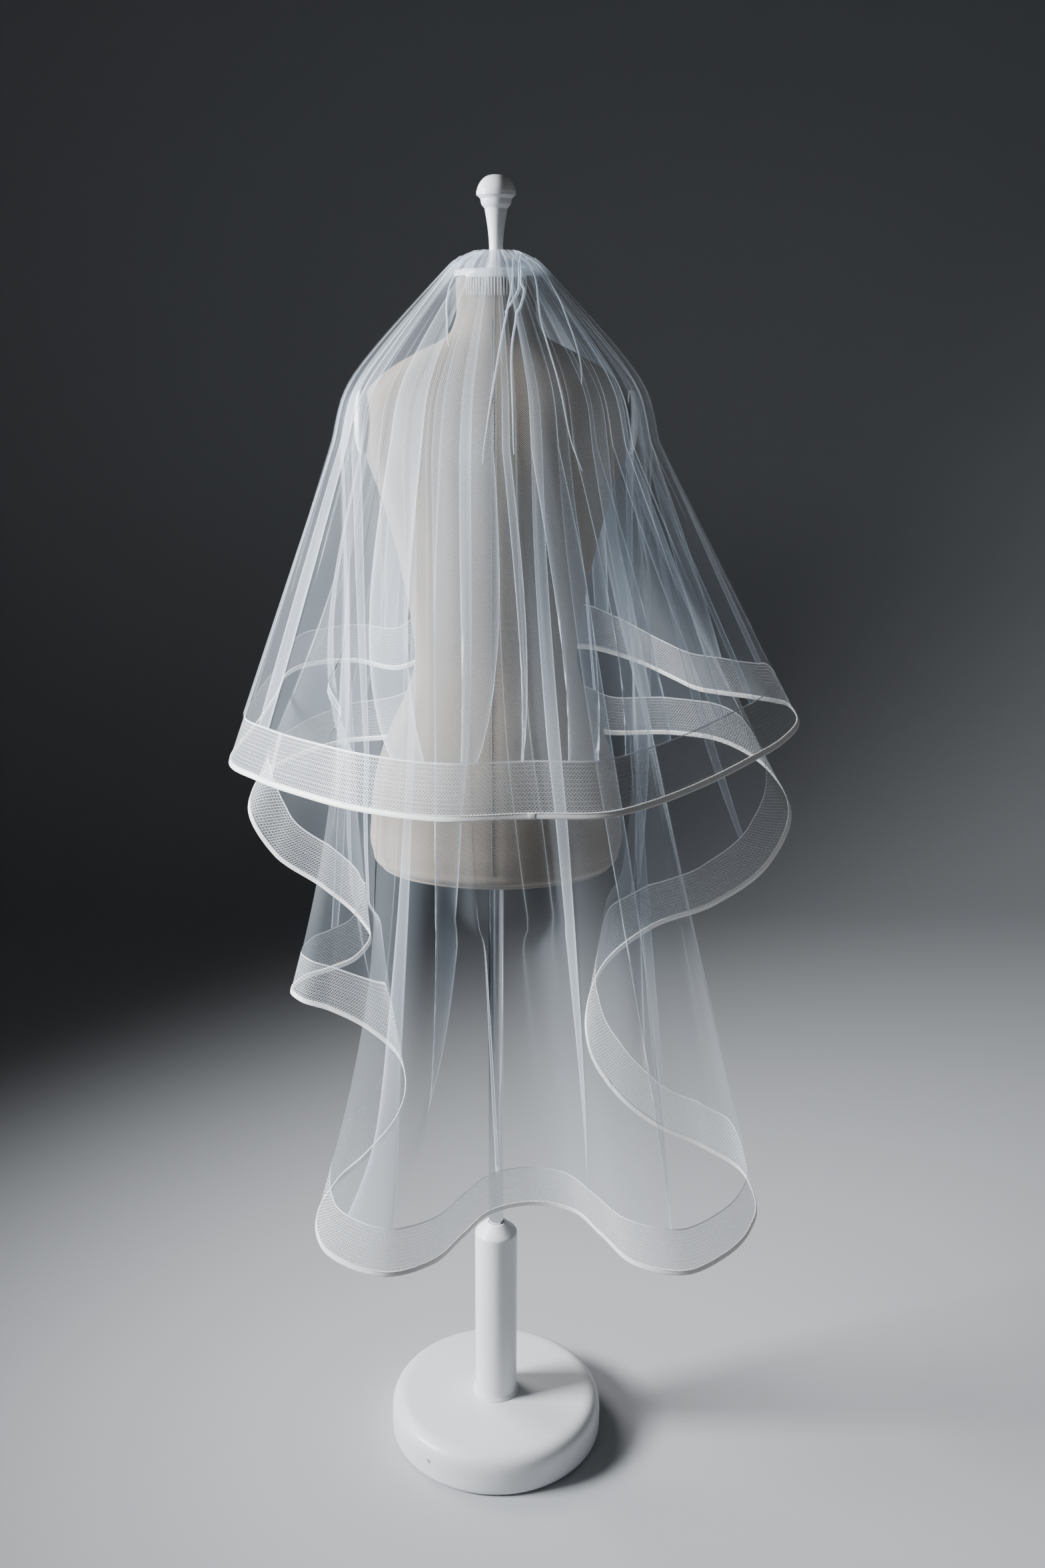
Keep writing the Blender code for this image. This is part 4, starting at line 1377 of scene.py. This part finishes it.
@dataclass
class Stand:
    """The base, the post with its cone top, the pole, the neck cap and the finial."""

    gap: float = 0.0003
    base_radius: float = 0.160
    base_height: float = 0.063
    post_radius: float = 0.0315
    post_shoulder: float = 0.340
    post_top: float = 0.3565
    bore_radius: float = 0.0113
    bore_floor: float = 0.300
    pole_radius: float = 0.0107
    form_bottom: float = 0.915
    neck_top: float = 1.6895
    neck_cap_top: float = 1.6985
    neck_cap_radius: float = 0.0525
    top: float = 1.8080

    def base(self) -> Turned:
        """Shapes the thick round base."""
        return Turned("base", (
            (0.0, self.base_height, 0), (self.base_radius, self.base_height, 0.026),
            (self.base_radius, 0.0, 0.011), (0.0, 0.0, 0),
        ), steps=192)

    def post(self) -> Turned:
        """Shapes the post, with a bead at its foot, a cone top and the bore for the pole."""
        foot = self.base_height + self.gap
        return Turned("post", (
            (0.0, self.bore_floor, 0), (self.bore_radius, self.bore_floor, 0),
            (self.bore_radius, self.post_top, 0.0008), (self.bore_radius + 0.0030, self.post_top, 0.0014),
            (self.post_radius, self.post_shoulder, 0.003), (self.post_radius, foot + 0.007, 0.002),
            (self.post_radius + 0.003, foot + 0.002, 0.0015), (self.post_radius + 0.004, foot, 0.0),
            (0.0, foot, 0),
        ))

    def pole(self) -> Turned:
        """Shapes the pole, from the post's bore to the form."""
        top, foot = self.form_bottom - self.gap, self.bore_floor + self.gap
        return Turned("pole", (
            (0.0, top, 0), (self.pole_radius, top, 0.0008), (self.pole_radius, foot, 0.0008), (0.0, foot, 0),
        ), steps=64, slot="chrome")

    def neck_cap(self) -> Turned:
        """Shapes the round cap on the form's neck."""
        foot, radius = self.neck_top + self.gap, self.neck_cap_radius
        return Turned("neck_cap", (
            (0.0, self.neck_cap_top, 0), (radius, self.neck_cap_top, 0.006), (radius, foot, 0.0006),
            (0.0, foot, 0),
        ))

    def finial(self) -> Turned:
        """Shapes the finial: its knob, its rings and its waisted stem."""
        foot = self.neck_cap_top + self.gap
        return Turned("finial", (
            (0.0, self.top, 0), (0.0140, 1.8078, 0.010), (0.0246, 1.7920, 0.008), (0.0240, 1.7850, 0.004),
            (0.0190, 1.7803, 0.0012), (0.0190, 1.7783, 0.0008), (0.0180, 1.7740, 0.002),
            (0.0139, 1.7693, 0.0012), (0.0137, 1.7670, 0.0008), (0.0100, 1.7470, 0.012),
            (0.0081, 1.7235, 0.010), (0.0086, 1.7080, 0.005), (0.0124, 1.7010, 0.002),
            (0.0125, foot, 0), (0.0, foot, 0),
        ), steps=96)

    def add(self, paint: Material, chipped: Material, chrome: Material) -> None:
        """Makes the stand in its finishes."""
        for piece, material in (
            (self.base(), chipped), (self.post(), paint), (self.pole(), chrome), (self.neck_cap(), paint),
            (self.finial(), paint),
        ):
            piece.add(material)


@dataclass(frozen=True)
class ShoulderCap:
    """The domed oval plate over the form's arm hole.

    Attributes:
        side: -1 for the left and 1 for the right.
    """

    side: int
    face: float = 0.1693
    height: float = 1.514
    bulge: float = 0.0115
    rim: float = 0.003
    radius: float = 0.036
    stretch: float = 1.12
    back_corner: float = 0.0008
    rows: int = 14
    steps: int = 72

    def add(self, material: Material) -> Piece:
        """Makes the plate in this finish."""
        turns = [math.pi / 2 * row / self.rows for row in range(1, self.rows + 1)]
        dome = [(self.radius * math.sin(t), self.rim + (self.bulge - self.rim) * math.cos(t)) for t in turns]
        edge = [(self.radius, self.rim * 0.4), (self.radius - self.back_corner, 0.0), (0.0, 0.0)]
        word = "left" if self.side < 0 else "right"
        mesh = turned_mesh(f"shoulder_{word}", [(0.0, self.bulge), *dome, *edge], self.steps)
        turn = Matrix.Rotation(self.side * math.pi / 2, 4, "Y")
        place = Matrix.Translation((self.side * self.face, 0.0, self.height))
        mesh.transform(place @ turn @ Matrix.Diagonal((self.stretch, 1.0, 1.0, 1.0)))
        return place_piece(f"domed_cap_{word}", mesh, material, node=f"shoulder_cap_{word}")


@dataclass(frozen=True)
class Comb:
    """The clear comb that the heading is gathered on.

    Attributes:
        bend: The radius of the spine's middle.
        teeth: How many teeth it has.
        pitch: How far apart they are.
        length: How far they reach below the spine's middle.
        top: How high the spine's top is.
    """

    bend: float = 0.0539
    teeth: int = 22
    pitch: float = 0.0038
    length: float = 0.0233
    top: float = 1.6922

    def add(self, material: Material) -> Piece:
        """Makes the comb in this finish."""
        start = bpy.data.meshes.new("comb start")
        sweep = (self.teeth - 1) * self.pitch / self.bend
        sizes = {"Bend": self.bend, "Sweep": sweep, "Teeth": self.teeth, "Tooth_Length": self.length}
        mesh = CombShape().run("moulded_comb", start, material, Top=self.top, **sizes)
        return place_piece("moulded_comb", mesh, material, node="comb")


@dataclass(frozen=True)
class Lamp:
    """A soft square light aimed at the middle of the veil.

    Attributes:
        name: Its name.
        place: Where it stands.
        size: How wide it is, in metres.
        power: Its power, in watts.
        spread: How wide its beam opens, in degrees.
        colour: Its colour.
    """

    name: str
    place: Place
    size: float
    power: float
    spread: float
    colour: Rgb = (1.0, 1.0, 1.0)

    AIM = (0.0, 0.0, 1.1)

    def add(self) -> None:
        """Lights the scene with it."""
        data = bpy.data.lights.new(self.name, "AREA")
        data.size = self.size
        data.energy = self.power
        data.spread = math.radians(self.spread)
        data.color = self.colour
        light = bpy.data.objects.new(self.name, data)
        light.location = self.place
        light.rotation_euler = (Vector(self.AIM) - Vector(self.place)).to_track_quat("-Z", "Y").to_euler()
        bpy.context.scene.collection.objects.link(light)


@dataclass
class Studio:
    """The plain floor, the soft lights and the photograph's camera.

    Attributes:
        camera: Where the photograph's camera stood.
        pitch: How far it looked down.
        focal_pixels: Its focal length, in pixels of the photograph.
        picture: The photograph's width and height, in pixels.
        axis_column: The column of the photograph that the stand's axis is on.
        floor_colour: The floor's colour.
        lamps: The lights.
        air: The colour of the light from all round.
        air_strength: How strong that light is.
    """

    camera: Place = (0.0, -1.932, 1.590)
    pitch: float = math.radians(16.04)
    focal_pixels: float = 2208.9
    picture: tuple[int, int] = (1568, 2352)
    axis_column: float = 744.4
    floor_colour: Rgb = (0.50, 0.51, 0.53)
    lamps: tuple[Lamp, ...] = (
        Lamp("window", (-2.8, -0.50, 2.1), 1.1, 60.0, 60, (0.94, 0.97, 1.0)),
        Lamp("fill", (2.4, -2.2, 1.9), 2.4, 1.6, 80),
        Lamp("rim", (-1.6, 1.4, 2.3), 1.2, 12.0, 80),
    )
    air: Rgb = (0.86, 0.92, 1.0)
    air_strength: float = 0.02

    def add_floor(self) -> None:
        """Makes the floor and the wall behind it in one sweep."""
        far, near, half, bend, top, steps = 3.4, -3.2, 6.0, 1.2, 5.5, 12
        turns = [step / steps * math.pi / 2 for step in range(1, steps + 1)]
        curve = [(far - bend + bend * math.sin(turn), bend - bend * math.cos(turn)) for turn in turns]
        profile = [(near, 0.0), (far - bend, 0.0), *curve, (far, top)]
        places = [(x, y, z) for y, z in profile for x in (-half, half)]
        faces = [(2 * n, 2 * n + 1, 2 * n + 3, 2 * n + 2) for n in range(len(profile) - 1)]
        mesh = bpy.data.meshes.new("floor_sweep")
        mesh.from_pydata(places, [], faces)
        mesh.shade_smooth()
        floor = bpy.data.objects.new("floor_sweep", mesh)
        bpy.context.scene.collection.objects.link(floor)
        pale = Surface("pale floor")
        pale.set({Shader.COLOUR: self.floor_colour, Shader.ROUGHNESS: 0.9})
        mesh.materials.append(pale.material)

    def add_camera(self) -> None:
        """Makes the camera that the photograph was taken with."""
        width, height = self.picture
        data = bpy.data.cameras.new("camera")
        data.sensor_width = 36.0
        data.lens = self.focal_pixels / height * data.sensor_width
        data.shift_x = (width / 2 - self.axis_column) / height
        data.clip_start = 0.05
        data.clip_end = 50.0
        camera = bpy.data.objects.new("camera", data)
        camera.location = self.camera
        camera.rotation_euler = (math.pi / 2 - self.pitch, 0.0, 0.0)
        bpy.context.scene.collection.objects.link(camera)
        bpy.context.scene.camera = camera

    def add(self) -> None:
        """Makes the whole studio."""
        self.add_floor()
        for lamp in self.lamps:
            lamp.add()
        world = bpy.data.worlds.new("studio")
        world.use_nodes = True
        background = world.node_tree.nodes["Background"].inputs
        background["Color"].default_value = (*self.air, 1.0)
        background["Strength"].default_value = self.air_strength
        bpy.context.scene.world = world
        self.add_camera()


LOWER_FOLDS = Folds(table(Pleat, (
    (0.050, 0.0090, 3.4, 2.0, 1), (0.108, 0.0060, 3.0, 1.0, -1), (0.160, 0.0110, 3.8, 0.4, 1),
    (0.212, 0.0060, 3.2, 1.8, -1), (0.255, 0.0050, 3.4, 1.0, 1, 0.020), (0.305, 0.0090, 3.6, 0.0, 1),
    (0.352, 0.0060, 1.6, 0.0, -1), (0.402, 0.0100, 1.9, 3.2, 1), (0.449, 0.0120, 4.7, 0.0, -1, -0.033),
    (0.500, 0.0050, 1.4, 0.0, 1), (0.545, 0.0060, 3.4, 1.2, -1, -0.022), (0.578, 0.0055, 3.6, 1.2, 1, -0.012),
    (0.628, 0.0100, 3.4, 0.6, -1), (0.680, 0.0070, 3.4, 1.8, 1), (0.728, 0.0050, 3.0, 0.4, -1),
    (0.785, 0.0110, 3.8, 1.2, 1), (0.842, 0.0060, 3.0, 1.6, -1), (0.895, 0.0090, 3.4, 1.4, -1),
    (0.950, 0.0070, 3.2, 2.0, 1),
)), fine=30, seed=11)
UPPER_FOLDS = Folds(table(Pleat, (
    (0.045, 0.0080, 3.4, 2.6, 1), (0.100, 0.0060, 3.0, -1.6, -1), (0.152, 0.0100, 3.6, 2.8, 1),
    (0.204, 0.0060, 3.2, -3.0, -1), (0.248, 0.0060, 3.0, 2.6, 1), (0.290, 0.0100, 3.5, 2.8, -1),
    (0.334, 0.0055, 1.8, 3.0, 1, 0.050), (0.398, 0.0120, 4.4, 3.2, -1, 0.030),
    (0.440, 0.0050, 2.0, -2.2, 1, 0.010), (0.479, 0.0120, 4.0, 2.2, -1, -0.010),
    (0.513, 0.0055, 3.4, 2.0, 1, -0.011), (0.552, 0.0110, 3.8, 2.9, -1, -0.014),
    (0.600, 0.0120, 3.6, 4.2, 1, -0.014), (0.652, 0.0120, 3.4, 1.8, -1), (0.690, 0.0060, 3.0, 2.6, 1),
    (0.745, 0.0090, 3.6, -1.0, -1), (0.800, 0.0060, 3.2, 2.6, 1), (0.850, 0.0110, 3.6, 2.6, -1),
    (0.902, 0.0060, 3.0, -2.0, 1), (0.955, 0.0080, 3.4, 2.8, 1),
)), fine=26, seed=23)
UPPER_STRANDS = table(Strand, (
    # The path of each, its width and its thickness.
    (((0.640, 0.04, 0.001), (0.564, 0.36, 0.004), (0.542, 0.45, 0.005), (0.522, 0.51, 0.005),
      (0.506, 0.60, 0.004), (0.496, 0.78, 0.002), (0.485, 1.05, 0.001)), 0.0026, 0.0012),
    (((0.670, 0.05, 0.001), (0.587, 0.38, 0.006), (0.562, 0.45, 0.009), (0.562, 0.475, 0.009),
      (0.546, 0.51, 0.008), (0.534, 0.535, 0.006), (0.520, 0.65, 0.004),
      (0.518, 1.02, 0.001)), 0.0030, 0.0016),
    (((0.590, 0.36, 0.006), (0.562, 0.44, 0.006), (0.552, 0.47, 0.006), (0.534, 0.495, 0.007),
      (0.516, 0.52, 0.004)), 0.0034, 0.0014),
    (((0.700, 0.30, 0.003), (0.656, 0.475, 0.004), (0.640, 0.525, 0.004), (0.626, 0.60, 0.003),
      (0.608, 0.76, 0.001)), 0.0022, 0.0010),
    (((0.640, 0.30, 0.003), (0.622, 0.42, 0.003), (0.590, 0.50, 0.003), (0.578, 0.58, 0.002),
      (0.578, 0.85, 0.001), (0.588, 1.08, 0.001)), 0.0020, 0.0010),
    (((0.330, 0.16, 0.003), (0.366, 0.42, 0.003), (0.384, 0.48, 0.003), (0.412, 0.54, 0.002),
      (0.430, 0.60, 0.001)), 0.0022, 0.0010),
    (((0.300, 0.20, 0.003), (0.322, 0.45, 0.003), (0.318, 0.70, 0.002),
      (0.300, 0.98, 0.001)), 0.0022, 0.0010),
))

TIERS = (
    Tier("lower", LOWER_RINGS, LOWER_HEM, LOWER_FOLDS, flat=(1.80, 1.32), flat_area=1.95,
         ribbon_joins=(0.36, 0.71), braid_join=0.62),
    Tier("upper", UPPER_RINGS, UPPER_HEM, UPPER_FOLDS, flat=(1.80, 0.66), flat_area=1.05,
         ribbon_joins=(0.501, 0.825), braid_join=0.312, strands=UPPER_STRANDS),
)


def main() -> None:
    """Dresses the stand and the form, makes the veil and sets up the studio."""
    logging.basicConfig(level=logging.INFO, format="%(name)s: %(message)s")
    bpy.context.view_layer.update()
    groups = Groups()
    white = (0.86, 0.87, 0.89)
    paint = Paint("white paint", white, 0.34).material(groups)
    chipped = Paint("white paint, chipped", white, 0.38, chip=(-0.098, -0.124, 0.034)).material(groups)
    chrome = Chrome("chrome", (0.78, 0.79, 0.81)).material(groups)
    twill = Twill("linen twill", (0.44, 0.375, 0.31), dark=(0.055, 0.045, 0.036)).material(groups)
    clear = ClearPlasticPaintedGlint("clear plastic", (0.97, 0.98, 1.0)).material(groups)
    net = Tulle("tulle", (0.70, 0.84, 1.0), light=(0.90, 0.95, 1.0), cover=0.072, crease_glint_cover=0.34)
    tulle = net.material(groups)
    braid = OpenBraid("horsehair braid", (0.86, 0.90, 0.95), cover=0.05, strand_cover=0.50).material(groups)
    satin = Satin("satin ribbon", (0.95, 0.95, 0.94)).material(groups)
    Stand().add(paint, chipped, chrome)
    stitches = Stitches()
    FORM.add_cover(twill)
    FORM.add_seam(stitches, twill)
    for side in (-1, 1):
        ShoulderCap(side).add(paint)
    Comb().add(clear)
    for tier in TIERS:
        tier.add(tulle, braid, satin, stitches)
    Studio().add()
    bpy.context.scene.cycles.transparent_max_bounces = 48
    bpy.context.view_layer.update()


if __name__ == "__main__":
    main()
